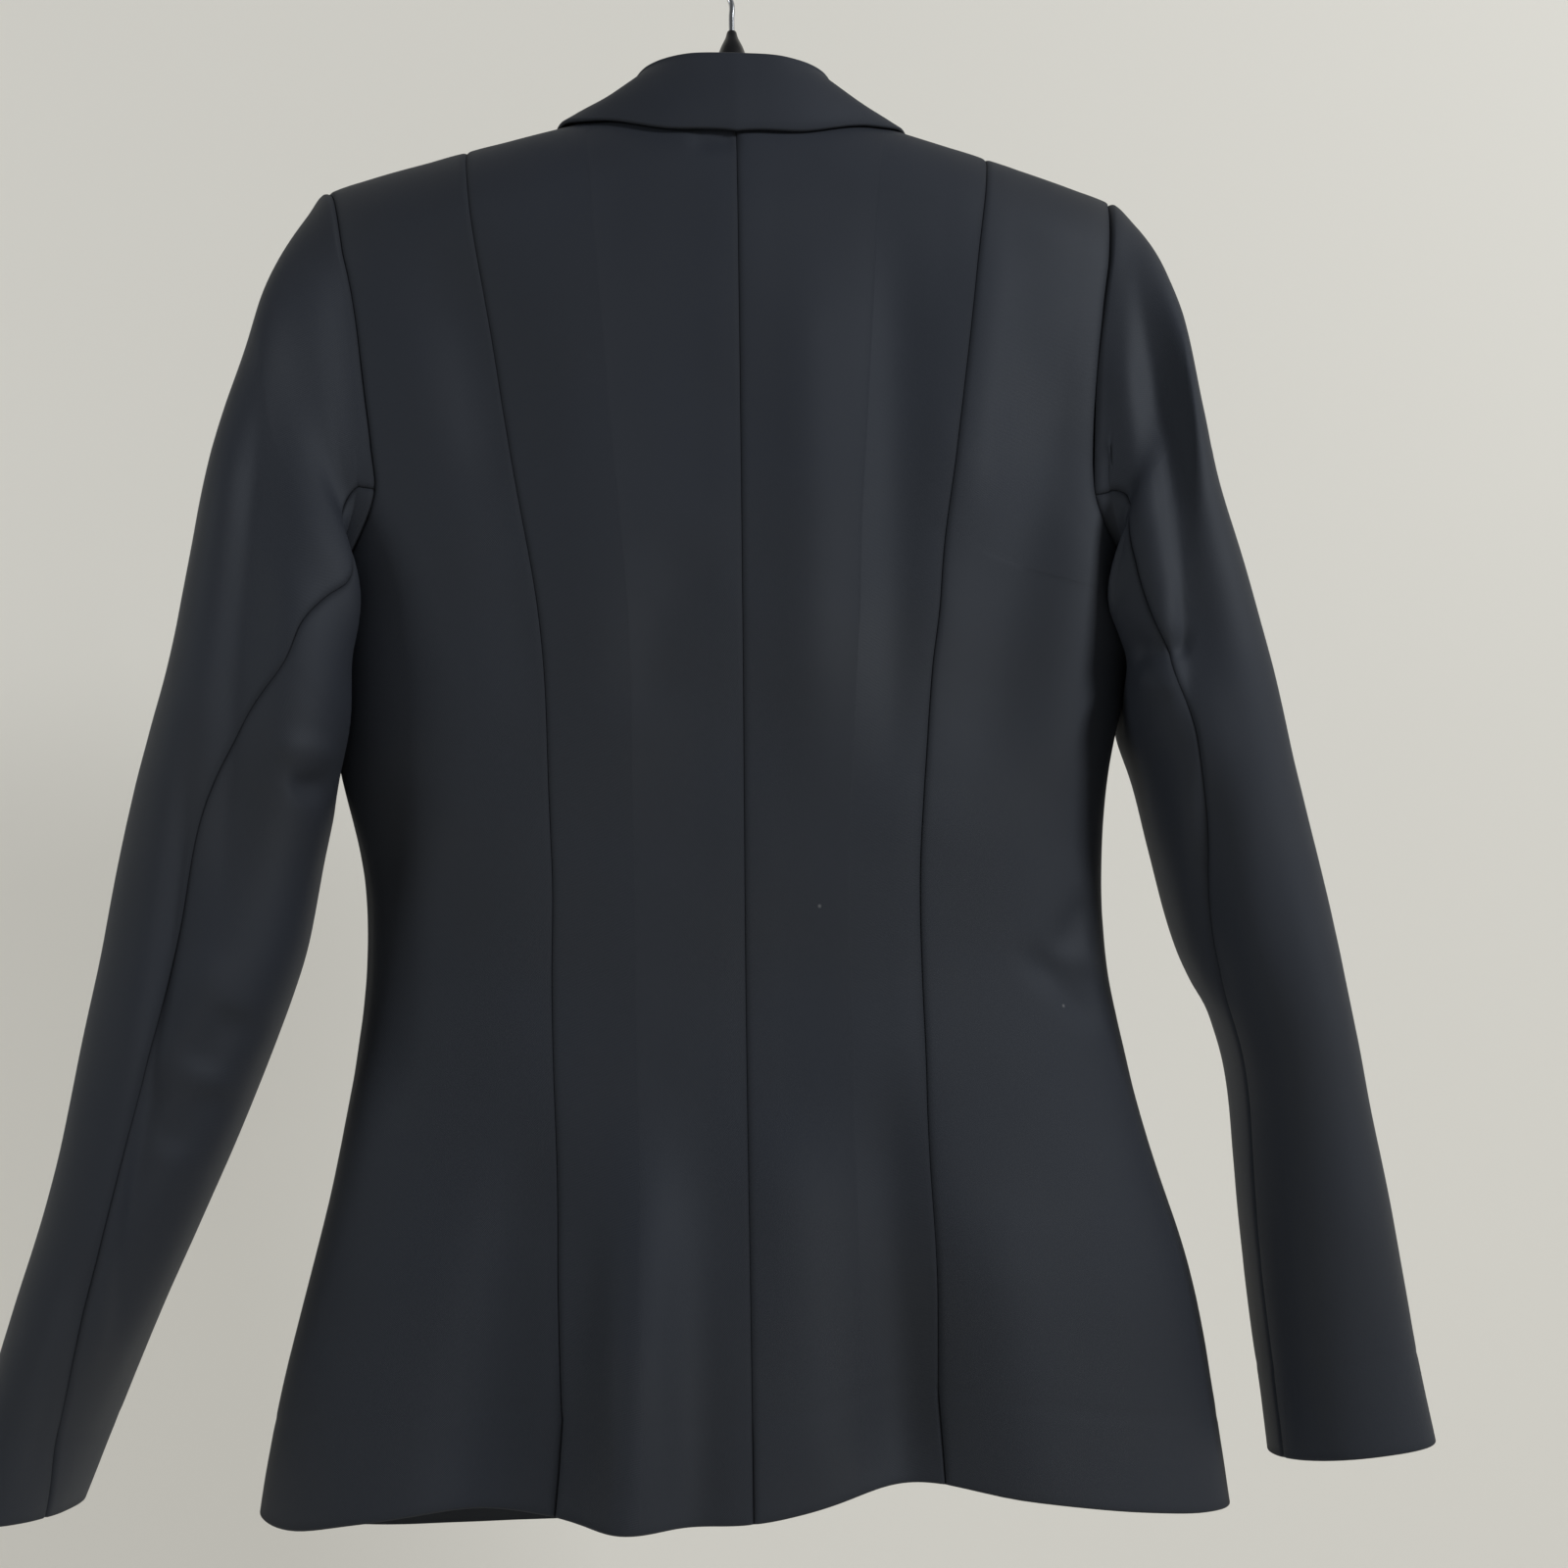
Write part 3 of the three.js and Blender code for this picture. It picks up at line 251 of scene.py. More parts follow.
# Folds and creases that only the dressed cloth has.
# Each runs from (x, down) to (x2, down2) as seen from behind, bowed to the picture's right by bend. left
# and right are its widths on either side, and depth is + for a ridge and - for a trough.
CREASE_COLUMNS = "face x down x2 down2 bend left right depth"
TORSO_CREASES = table(
    CREASE_COLUMNS,
    (1, 140, 190, 98, 330, 0, 20, 22, -3.4),
    (1, 122, 195, 80, 470, 0, 18, 24, -3.6),
    (1, -30, 185, -30, 480, 0, 18, 16, 3.0),
    (1, -72, 175, -66, 470, 0, 14, 16, -4.0),
    (1, -118, 180, -102, 360, 0, 13, 12, 2.0),
    (1, -152, 225, -88, 480, 6, 26, 22, -6.0),
    (1, -156, 300, -142, 480, 0, 16, 14, 2.6),
    (1, -160, 494, -126, 542, 0, 6, 7, -1.5),
    (1, -160, 560, -118, 518, 0, 6, 7, -1.4),
    (1, -163, 528, -130, 526, 0, 7, 7, 1.3),
    (1, 158, 430, 148, 620, 0, 18, 16, -3.2),
    (1, 106, 440, 100, 600, 0, 18, 18, 1.8),
    (1, 86, 580, 122, 772, 0, 14, 20, -6.0),
    (1, 70, 600, 68, 772, 0, 12, 12, -2.2),
    (1, 40, 600, 40, 772, 0, 14, 12, 2.4),
    (1, -14, 580, -28, 772, 0, 20, 18, 3.6),
    (1, -58, 560, -66, 772, 0, 16, 14, -5.0),
    (1, -100, 620, -112, 772, 0, 20, 20, 2.2),
    (1, 22, 330, 48, 430, 0, 18, 18, -1.6),
    (1, 24, 154, -4, 153, 0, 5, 5, -1.8),
    (1, 0, 160, 0, 300, 0, 20, 20, 0.9),
    (-1, 120, 250, 96, 400, 0, 18, 16, -3.0),
    (-1, -120, 250, -96, 400, 0, 16, 18, -3.0),
    (-1, 20, 524, 110, 560, 10, 9, 9, -2.4),
    (-1, -20, 530, -120, 575, -10, 9, 9, -2.4),
    (-1, 30, 510, 130, 500, 0, 10, 12, 1.8),
    (-1, 60, 590, 84, 790, 0, 16, 18, -3.6),
    (-1, -70, 590, -88, 790, 0, 18, 16, -3.6),
    (-1, 120, 600, 140, 790, 0, 16, 16, 3.0),
    (-1, -125, 600, -145, 790, 0, 16, 16, 2.8),
)
SLEEVE_CREASES = {
    "left": table(
        CREASE_COLUMNS,
        (1, 204, 240, 214, 540, 0, 12, 18, -9.0),
        (1, 226, 390, 262, 725, 4, 6, 17, -6.5),
        (1, 262, 630, 288, 745, 0, 5, 12, -3.0),
        (1, 191, 195, 181, 320, 0, 12, 10, 2.2),
        (1, 226, 572, 208, 542, 0, 8, 8, -3.2),
        (1, 236, 606, 216, 574, 0, 8, 7, -3.0),
        (1, 218, 515, 243, 580, 0, 8, 9, 2.4),
        (1, 164, 447, 190, 454, 0, 5, 6, -3.4),
        (1, 168, 436, 196, 438, 0, 6, 6, 1.8),
        (-1, 215, 480, 250, 520, 0, 9, 10, -3.0),
        (-1, 212, 530, 262, 560, 0, 9, 10, -2.6),
        (-1, 208, 250, 214, 440, 0, 16, 18, -4.0),
        (-1, 250, 600, 290, 740, 0, 14, 14, 1.8),
    ),
    "right": table(
        CREASE_COLUMNS,
        (1, -187, 200, -194, 450, 0, 6, 15, -7.5),
        (1, -198, 430, -199, 575, 0, 5, 12, -5.0),
        (1, -204, 560, -220, 665, 0, 5, 10, -3.2),
        (1, -176, 240, -180, 350, 0, 9, 5, 1.8),
        (1, -158, 305, -170, 388, 2, 6, 7, -2.2),
        (1, -168, 388, -196, 392, -5, 5, 7, -3.2),
        (1, -172, 402, -192, 410, -4, 5, 6, 1.8),
        (1, -184, 520, -202, 560, 0, 6, 7, -2.4),
        (1, -232, 470, -262, 690, 0, 16, 14, 1.8),
        (-1, -210, 480, -250, 520, 0, 9, 10, -3.0),
        (-1, -205, 540, -252, 560, 0, 9, 10, -2.6),
        (-1, -204, 250, -212, 440, 0, 16, 18, -4.0),
    ),
}
UNEVEN = table("size height", (95, 1.6), (42, 0.5), (17, 0.1))
HEM_TURN = 38

# Camera of the photograph.
CAMERA_AT = (27, 715, -545)
CAMERA_PITCH, CAMERA_YAW, CAMERA_ROLL = 8.0, 3.8, 0.83

# Distances in from an edge at which a panel has its closest points.
EDGE_STEPS = np.array([0, 0.12, 0.35, 0.7, 1.2, 1.8, 2.6, 3.7, 5.2])
TURN_STEP, WAY_STEP, RING_STEP = 0.4, 0.5, 0.05


def ease(v):
    v = np.clip(v, 0, 1)
    return v * v * (3 - 2 * v)


def bell(v):
    return np.exp(-v * v)


def mix(a, b, t):
    return a + (b - a) * t


def unit(v):
    return v / np.maximum(np.linalg.norm(v, axis=-1, keepdims=True), 1e-9)


def sign_of(side):
    return 1 if side == "left" else -1


def reader(data, place, column):
    """Reads a column of a table on a smooth curve through its rows."""
    at, value = data[place], data[column]
    last = len(at) - 1
    before, after = np.maximum(np.arange(last + 1) - 1, 0), np.minimum(np.arange(last + 1) + 1, last)
    slope = (value[after] - value[before]) / (at[after] - at[before])

    def read(p):
        p = np.asarray(p, float)
        i = np.clip(np.searchsorted(at, p, side="left") - 1, 0, last - 1)
        span, rise = at[i + 1] - at[i], value[i + 1] - value[i]
        t = np.clip((p - at[i]) / span, 0, 1)
        bend = (1 - t) * (slope[i] * span - rise) - t * (slope[i + 1] * span - rise)
        return value[i] + rise * t + t * (1 - t) * bend

    return read


def readers(data, place):
    return {column: reader(data, place, column) for column in data if column != place}


body = readers(BODY, "down")
princess = readers(PRINCESS, "down")
hem_down = reader(HEM, "turn", "down")
front_edge = reader(FRONT_EDGE, "way", "x")
lapel_edge = reader(LAPEL, "at", "x")
collar_seam = readers(COLLAR_SEAM, "at")
collar_roll = readers(COLLAR_ROLL, "at")
collar_edge = readers(COLLAR_EDGE, "at")
arm_row = readers(ARM_ROWS, "row")
lap_at = reader(LAP, "ring", "reach")
sleeve_at = {side: readers(SLEEVE[side], "ring") for side in SLEEVE}


def ridge_down(x):
    """Height of the shoulder line at a distance from the centre."""
    return SHOULDER_DOWN - SHOULDER_SLOPE * (math.hypot(SHOULDER_X, NECK_ROUND) - np.hypot(x, NECK_ROUND))


def rounded_way(way):
    return np.minimum(way / RIDGE_FALL, 1) * np.pi / 2


def fall_of(way):
    return np.maximum(way - RIDGE_FALL, 0) + RIDGE_FALL * (1 - np.cos(rounded_way(way)))


def unit_section(turn, square):
    """A point of a rounded-square unit section, by its angle from the depth axis."""
    s, c = np.sin(np.radians(turn)), np.cos(np.radians(turn))
    reach = (np.abs(s) ** square + np.abs(c) ** square) ** (-1 / square)
    return s * reach, c * reach


def turn_of_share(share, square):
    """The turn at which the section reaches a share of its half width, on the back half."""
    rest = np.clip(1 - np.abs(share) ** square, 0, 1) ** (1 / square)
    return np.degrees(np.arctan2(share, rest))


def square_at(way):
    return body["square"](SHOULDER_DOWN + fall_of(way))


def fold_depth(share, down):
    total = 0
    for at, wide, depth, start in zip(*HEM_FOLDS.values()):
        total = total + depth * bell((share - at) / wide) * ease((down - start) / (HEM_FOLDS_FULL - start))
    return total


def torso(turn, way):
    """The torso's outer surface. A way below 0 is over the shoulder, on the other face."""
    turn = np.where(way < 0, 180 - turn, turn)
    way = np.abs(way)
    share, out = unit_section(turn, square_at(way))
    chest = share * np.where(share >= 0, BODY["left"][0], BODY["right"][0])
    down = ridge_down(chest) + fall_of(way)
    half = np.where(share >= 0, body["left"](down), body["right"](down))
    depth = np.where(out >= 0, body["back"](down), body["front"](down))
    fold = np.where(out > 0, fold_depth(share, down), 0)
    y = depth * out * np.sin(rounded_way(way)) + fold
    return np.stack([half * share, y, -down], -1)


def torso_normal(turn, way):
    across = torso(turn + TURN_STEP, way) - torso(turn - TURN_STEP, way)
    along = torso(turn, way + WAY_STEP) - torso(turn, way - WAY_STEP)
    return unit(np.cross(across, along))


def way_to_hem(turn):
    share, _ = unit_section(turn, body["square"](HEM_LEVEL))
    chest = share * np.where(share >= 0, BODY["left"][0], BODY["right"][0])
    return hem_down(turn) - ridge_down(chest)


def turn_moved(turn, way, mm):
    """A turn moved by a distance along the cloth."""
    reach = torso(turn + TURN_STEP, way) - torso(turn - TURN_STEP, way)
    return turn + mm * 2 * TURN_STEP / np.linalg.norm(reach, axis=-1)


def turn_at_x(side, x, way, on_front):
    down = ridge_down(x) + fall_of(way)
    turn = turn_of_share(x / body[side](down), square_at(way))
    return sign_of(side) * np.where(on_front, 180 - turn, turn)


def armhole_turn(side, on_front, way):
    """The armhole's edge at a way down from the shoulder, as a turn on the back half."""
    waist = np.where(on_front, ARMHOLE_SHARE[side][1], ARMHOLE_SHARE[side][0])
    square = square_at(way)
    up = np.clip(1 - way / ARMHOLE_WAIST, 0, 1) ** ARMHOLE_BEND
    u = np.clip((way - ARMHOLE_WAIST) / (ARMHOLE_DEEP - ARMHOLE_WAIST), 0, 1)
    low = 1 - (1 - waist) * (1 - u * u) ** (square / 2)
    return turn_of_share(np.where(way <= ARMHOLE_WAIST, mix(waist, ARMHOLE_TOP_SHARE, up), low), square)


def princess_turn(side, way):
    down = SHOULDER_DOWN - PRINCESS_RISE + fall_of(way)
    return sign_of(side) * turn_of_share(princess[side](down), square_at(way))


def spaced(length, step, first=True, last=True):
    """Shares along a length in millimetres, close together at the ends that are edges."""
    start = EDGE_STEPS if first else np.array([0.0])
    end = length - EDGE_STEPS[::-1] if last else np.array([float(length)])
    parts = max(2, round((end[0] - start[-1]) / step))
    middle = np.linspace(start[-1], end[0], parts + 1)[1:-1]
    return np.concatenate([start, middle, end]) / length


# How cloth is dressed.
SEED_STEP = 7.31
HASH_STEPS, HASH_MIX, HASH_BITS = (374761393, 668265263, 2147483647), 1274126177, 0xFFFFFFFF
FACING_PAST, FACING_EASE, CREASE_ENDS = 0.05, 0.45, 3.4
SWELL, SWELL_FROM, SWELL_RISE, SWELL_TO, SWELL_FALL = 0.09, 1.5, 5, 17, 6
PUCKER, PUCKER_SIZE, PUCKER_SEED, PUCKER_WIDE = 0.1, 9, 3, 7
# Widths and strength of the pressed mask at seams, edges and hems: it makes the cloth rougher there and paints
# shade into its colour.
SEAM_PRESS_AND_SHADE_WIDE, EDGE_PRESS_AND_SHADE, EDGE_PRESS_AND_SHADE_WIDE, RIM_BLEND = 2.2, 0.6, 3, 1.2
HEM_DIP, HEM_DIP_WIDE, HEM_EXTRA, HEM_EXTRA_EASE = 0.22, 1.8, 0.9, 2


def uneven(points, size, seed):
    """Smooth unevenness from -1 to 1 by place: the same at the same place on every piece."""
    p = points / size + seed * SEED_STEP
    base = np.floor(p).astype(np.int64)
    f = p - base
    f = f * f * f * (f * (6 * f - 15) + 10)
    total = np.zeros(p.shape[:-1])
    for corner in range(8):
        bits = np.array([corner & 1, corner >> 1 & 1, corner >> 2])
        n = (base + bits) @ np.array(HASH_STEPS) & HASH_BITS
        n = (n ^ (n >> 13)) * HASH_MIX & HASH_BITS
        value = ((n ^ (n >> 16)) & 0xFFFF) / 32767.5 - 1
        total += value * np.prod(np.where(bits == 1, f, 1 - f), axis=-1)
    return total


def creased(points, normals, creases):
    """How far the creases of a table lift each point."""
    total = np.zeros(points.shape[:-1])
    x, down = points[..., 0], -points[..., 2]
    for face, x0, d0, x1, d1, bend, left, right, depth in zip(*creases.values()):
        run = math.hypot(x1 - x0, d1 - d0)
        tx, td = (x1 - x0) / run, (d1 - d0) / run
        t = ((x - x0) * tx + (down - d0) * td) / run
        inside = np.clip(t, 0, 1)
        off = (down - d0) * tx - (x - x0) * td - bend * 4 * inside * (1 - inside)
        if td < 0:
            off = -off
        across = bell(off / np.where(off > 0, right, left))
        facing = ease((face * normals[..., 1] + FACING_PAST) / FACING_EASE)
        total += depth * across * ease(t * CREASE_ENDS) * ease((1 - t) * CREASE_ENDS) * facing
    return total


def lengths(points, axis):
    """Arc length from the first point along an axis of a grid."""
    step = np.linalg.norm(np.diff(points, axis=axis), axis=-1)
    zero = np.zeros_like(np.take(step, [0], axis=axis))
    return np.concatenate([zero, np.cumsum(step, axis=axis)], axis=axis)


def grid_normals(points, like):
    """Normals of a grid of points, on the same side as the given ones."""
    n = unit(np.cross(np.gradient(points, axis=0), np.gradient(points, axis=1)))
    return n * np.sign((n * like).sum(-1).mean())


def groove(distance, sizes):
    """How far a pressed-open seam sinks into the cloth, and the swell of its allowance beside it."""
    swell = SWELL * ease((distance - SWELL_FROM) / SWELL_RISE) * ease((SWELL_TO - distance) / SWELL_FALL)
    return swell - sizes.seam_depth * 1000 * bell(distance / sizes.seam_width / 1000)


def shell(name, grid, normals, edges, thick, material, lift=None, hem=0):
    """A closed sheet of cloth over a grid of outer points: edges names its first and last column and row
    as "seam", "edge" or "hem"."""
    sizes = bpy.context.scene.blazer_sizes
    down_columns, across_rows = lengths(grid, 1), lengths(grid, 0)
    from_edge = [
        across_rows,
        across_rows[-1:] - across_rows,
        down_columns,
        down_columns[:, -1:] - down_columns,
    ]
    nearest = np.minimum.reduce(from_edge)
    rise = np.zeros(nearest.shape) if lift is None else lift.copy()
    # Pressed mask: rougher, pressed cloth, and painted shade that darkens the colour along seams and, more
    # weakly, along edges and hems.
    press_and_shade = np.zeros(nearest.shape)
    wall = np.full(nearest.shape, float(thick))
    for kind, distance in zip(edges, from_edge):
        if kind == "seam":
            rise += groove(distance, sizes)
            rise += PUCKER * uneven(grid, PUCKER_SIZE, PUCKER_SEED) * bell(distance / PUCKER_WIDE)
            press_and_shade = np.maximum(press_and_shade, bell(distance / SEAM_PRESS_AND_SHADE_WIDE))
        elif kind == "hem":
            rise -= HEM_DIP * bell((distance - hem) / HEM_DIP_WIDE)
            wall += HEM_EXTRA * ease((hem - distance) / HEM_EXTRA_EASE)
            press_and_shade = np.maximum(press_and_shade, EDGE_PRESS_AND_SHADE * bell(distance / EDGE_PRESS_AND_SHADE_WIDE))
        elif kind == "edge":
            press_and_shade = np.maximum(press_and_shade, EDGE_PRESS_AND_SHADE * bell(distance / EDGE_PRESS_AND_SHADE_WIDE))
    points = grid + normals * rise[..., None]
    facing = grid_normals(points, normals)
    facing = unit(mix(facing, normals, bell(nearest / RIM_BLEND)[..., None]))
    half = wall / 2
    rounding = 1 - np.sqrt(1 - (1 - np.clip(nearest / half, 0, 1)) ** 2)
    outer = points - facing * (half * rounding)[..., None]
    inner = points - facing * (wall - half * rounding)[..., None]
    rim = np.ones(nearest.shape, bool)
    rim[1:-1, 1:-1] = False
    cols, rows = nearest.shape
    outer_id = np.arange(cols * rows).reshape(cols, rows)
    inner_id = outer_id.copy()
    inner_id[~rim] = cols * rows + np.arange((~rim).sum())
    verts = np.concatenate([outer.reshape(-1, 3), inner[~rim]])

    def quads(ids):
        return np.stack([ids[:-1, :-1], ids[:-1, 1:], ids[1:, 1:], ids[1:, :-1]], -1).reshape(-1, 4)

    faces_out, faces_in = quads(outer_id), quads(inner_id)
    mid = (cols // 2, rows // 2)
    along = outer[mid[0], mid[1] + 1] - outer[mid]
    across = outer[mid[0] + 1, mid[1]] - outer[mid]
    if np.cross(along, across) @ normals[mid] > 0:
        faces_in = faces_in[:, ::-1]
    else:
        faces_out = faces_out[:, ::-1]
    middle = across_rows - across_rows[-1:] / 2
    place = np.stack([middle, down_columns, np.zeros_like(middle)], -1) * MM
    obj = mesh_object(name, verts * MM, np.concatenate([faces_out, faces_in]), material)
    add_attribute(obj, "cloth_place", np.concatenate([place.reshape(-1, 3), place[~rim]]), "FLOAT_VECTOR")
    add_attribute(obj, "pressed_and_shaded", np.concatenate([press_and_shade.ravel(), press_and_shade[~rim]]), "FLOAT")
    return obj


def mesh_object(name, verts, quads, material):
    mesh = bpy.data.meshes.new(name)
    mesh.vertices.add(len(verts))
    mesh.vertices.foreach_set("co", np.asarray(verts, np.float32).ravel())
    size = quads.shape[1]
    mesh.loops.add(quads.size)
    mesh.loops.foreach_set("vertex_index", quads.ravel().astype(np.int32))
    mesh.polygons.add(len(quads))
    mesh.polygons.foreach_set("loop_start", np.arange(0, quads.size, size, dtype=np.int32))
    mesh.polygons.foreach_set("use_smooth", np.ones(len(quads), bool))
    mesh.update(calc_edges=True)
    mesh.materials.append(material)
    obj = bpy.data.objects.new(name, mesh)
    bpy.context.scene.collection.objects.link(obj)
    return obj


def add_attribute(obj, name, values, kind):
    layer = obj.data.attributes.new(name, kind, "POINT")
    key = "vector" if kind == "FLOAT_VECTOR" else "value"
    layer.data.foreach_set(key, np.asarray(values, np.float32).ravel())


# Panels.
# STEP is the distance between the points of an open stretch of cloth.
STEP = 2.7
CENTRE_WIDE, SIDE_WIDE, FRONT_WIDE, BELOW_ARM, UNDERARM_PARTS = 100, 84, 190, 400, 36
NEAR_NECK = np.array([-0.012, -0.004, 0, 0.004])
SIDE_MIDDLE_TURN, FRONT_MIDDLE_TURN = 60, 135
LAPEL_WIDE, LAPEL_LONG, LAPEL_ROLL_PAST, LAPEL_ROLL_ROOM = 60, 300, 0.4, 2.2
COLLAR_LONG, COLLAR_STEP, STAND_EASE, COLLAR_EXTRA = 520, 3.0, 12, 0.4


def upper_ways():
    """Ways down from the shoulder to the underarm, close together where the armhole turns under."""
    high = spaced(ARMHOLE_WAIST, STEP, last=False) * ARMHOLE_WAIST
    low = np.sin(np.radians(np.linspace(0, 90, UNDERARM_PARTS)[1:]))
    return np.concatenate([high, mix(ARMHOLE_WAIST, ARMHOLE_DEEP, low)])


def torso_rows():
    """Rows of a torso panel: (way above the underarm, share of the way to the hem below it)."""
    ways = upper_ways()
    shares = spaced(BELOW_ARM, STEP, first=False)[1:]
    way = np.concatenate([ways, np.full(len(shares), ARMHOLE_DEEP)])
    share = np.concatenate([np.zeros(len(ways)), shares])
    return way, share


def row_ways(turn, rows):
    way, share = rows
    return np.where(share > 0, mix(ARMHOLE_DEEP, way_to_hem(turn), share), way)


def dress_torso(grid, normals):
    lift = creased(grid, normals, TORSO_CREASES)
    for i, (size, height) in enumerate(zip(*UNEVEN.values())):
        lift = lift + height * uneven(grid, size, i)
    return lift


def back_centre(side):
    s = sign_of(side)
    rows = torso_rows()
    neck_share = NECK_X / (princess[side](SHOULDER_DOWN - PRINCESS_RISE) * body[side](SHOULDER_DOWN))
    column = spaced(CENTRE_WIDE, STEP)[:, None]
    near = neck_share + NEAR_NECK
    column = np.sort(np.concatenate([column[:, 0], near]))[:, None]
    edge = princess_turn(side, row_ways(0, rows))[None]
    start = np.minimum(1, column / neck_share)
    top_way = np.where(column < neck_share, NAPE_WAY * np.sqrt(1 - start**2), 0)
    turn = edge * column
    row_way = row_ways(turn, rows)
    way = np.maximum(row_way, top_way + row_way * (1 - top_way / NECK_TAPER))
    turn = turn_moved(turn, way, -s * SEAM_TUCK * (1 - 2 * column) * ((column == 0) | (column == 1)))
    return turn, way, ("seam", "seam", "seam", "hem")


def back_side(side):
    s = sign_of(side)
    rows = torso_rows()
    above = (rows[1] == 0)[None]
    column = spaced(SIDE_WIDE, STEP)[:, None]
    nominal = row_ways(s * SIDE_MIDDLE_TURN, rows)[None]
    inner = princess_turn(side, row_ways(0, rows))[None]
    outer = s * np.where(above, armhole_turn(side, False, nominal), 90)
    turn = mix(inner, outer, column)
    way = row_ways(turn, rows)
    at_end = (column == 0) | ((column == 1) & ~above)
    turn = turn_moved(turn, way, -s * SEAM_TUCK * (1 - 2 * column) * at_end)
    return turn, way, ("seam", "seam", "seam", "hem")


def front(side):
    s = sign_of(side)
    rows = torso_rows()
    above = (rows[1] == 0)[None]
    column = spaced(FRONT_WIDE, STEP)[:, None]
    nominal = row_ways(s * FRONT_MIDDLE_TURN, rows)[None]
    corner = np.clip((rows[1] - CORNER_FROM) / CORNER_OVER, 0, 1)
    inner_x = front_edge(nominal) + CORNER_ROUND * (1 - np.sqrt(1 - corner**2))[None]
    outer = s * np.where(above, 180 - armhole_turn(side, True, nominal), 90)
    inner = turn_at_x(side, inner_x, nominal, True)
    turn = mix(outer, inner, column)
    way = row_ways(turn, rows)
    at_side = (column == 0) & ~above
    return turn_moved(turn, way, -s * SEAM_TUCK * at_side), way, ("seam", "edge", "seam", "hem")


def underlap_in(x, way):
    """How far in the under-lap lies, so that it passes under the over-lap."""
    deep = mix(UNDERLAP_ABOVE, UNDERLAP_BELOW, ease((way - UNDERLAP_FROM) / UNDERLAP_OVER))
    return deep * ease((UNDERLAP_EDGE - x) / UNDERLAP_EASE)


def torso_panel(name, make, side, material):
    turn, way, edges = make(side)
    turn, way = np.broadcast_arrays(turn, way)
    grid, normals = torso(turn, way), torso_normal(turn, way)
    lift = dress_torso(grid, normals)
    if name == "front_left":
        lift = lift - underlap_in(grid[..., 0], way)
    sizes = bpy.context.scene.blazer_sizes
    return shell("cloth_" + name, grid, normals, edges, sizes.cloth * 1000, material, lift, HEM_TURN)


def lapel(side, material):
    """Lapel: rolled back over the edge of its front, from the gorge to the break."""
    flat = spaced(LAPEL_WIDE, STEP, first=False)
    roll = np.linspace(200, 90, 12)[:-1]
    along = spaced(LAPEL_LONG, STEP)[None]
    sizes = bpy.context.scene.blazer_sizes
    thick = sizes.cloth * 1000
    radius = (LIE + MODEL_CLOTH + LAPEL_ROLL_ROOM) / 2
    lift_top = LIE + MODEL_CLOTH

    def rows(across, along):
        top_way = mix(GORGE_WAY, LAPEL_TIP_WAY, across)
        way = mix(top_way, LAPEL_END_WAY, along)
        roll_x = front_edge(way) + LAPEL_ROLL_PAST
        edge_x = np.maximum(lapel_edge(along), roll_x + LAPEL_LEAST)
        return mix(roll_x, edge_x, across), way

    x, way = rows(flat[:, None], along)
    turn = turn_at_x(side, x, way, True)
    base, normal = torso(turn, way), torso_normal(turn, way)
    bulge = LAPEL_BULGE * np.sin(np.pi * flat[:, None]) * (1 - along)
    inward = underlap_in(base[..., 0], way) if side == "left" else 0
    laid = base + normal * (lift_top + bulge - inward)[..., None]
    tangent = unit(laid[1] - laid[0])
    centre = laid[0] - normal[0] * radius
    a = np.radians(roll)[:, None, None]
    fold = centre + radius * (normal[0] * np.sin(a) + tangent * np.cos(a))
    fold_normal = np.broadcast_to(normal[0] * np.sin(a) + tangent * np.cos(a), fold.shape)
    grid = np.concatenate([fold, laid])
    normals = np.concatenate([fold_normal, normal])
    lift = 0.3 * uneven(grid, 38, 5)
    return shell(f"cloth_lapel_{side}", grid, normals, ("none", "edge", "edge", "edge"), thick, material, lift)


def through(points, q):
    """Points at q on smooth curves through the columns of a grid of points."""
    last = points.shape[1] - 1
    k = np.arange(last + 1)
    before, after = np.maximum(k - 1, 0), np.minimum(k + 1, last)
    slope = (points[:, after] - points[:, before]) / (after - before)[:, None]
    i = np.clip(np.floor(q).astype(int), 0, last - 1)
    t = (q - i)[None, :, None]
    a, b = points[:, i], points[:, i + 1]
    rise = b - a
    bend = (1 - t) * (slope[:, i] - rise) - t * (slope[:, i + 1] - rise)
    return a + rise * t + t * (1 - t) * bend


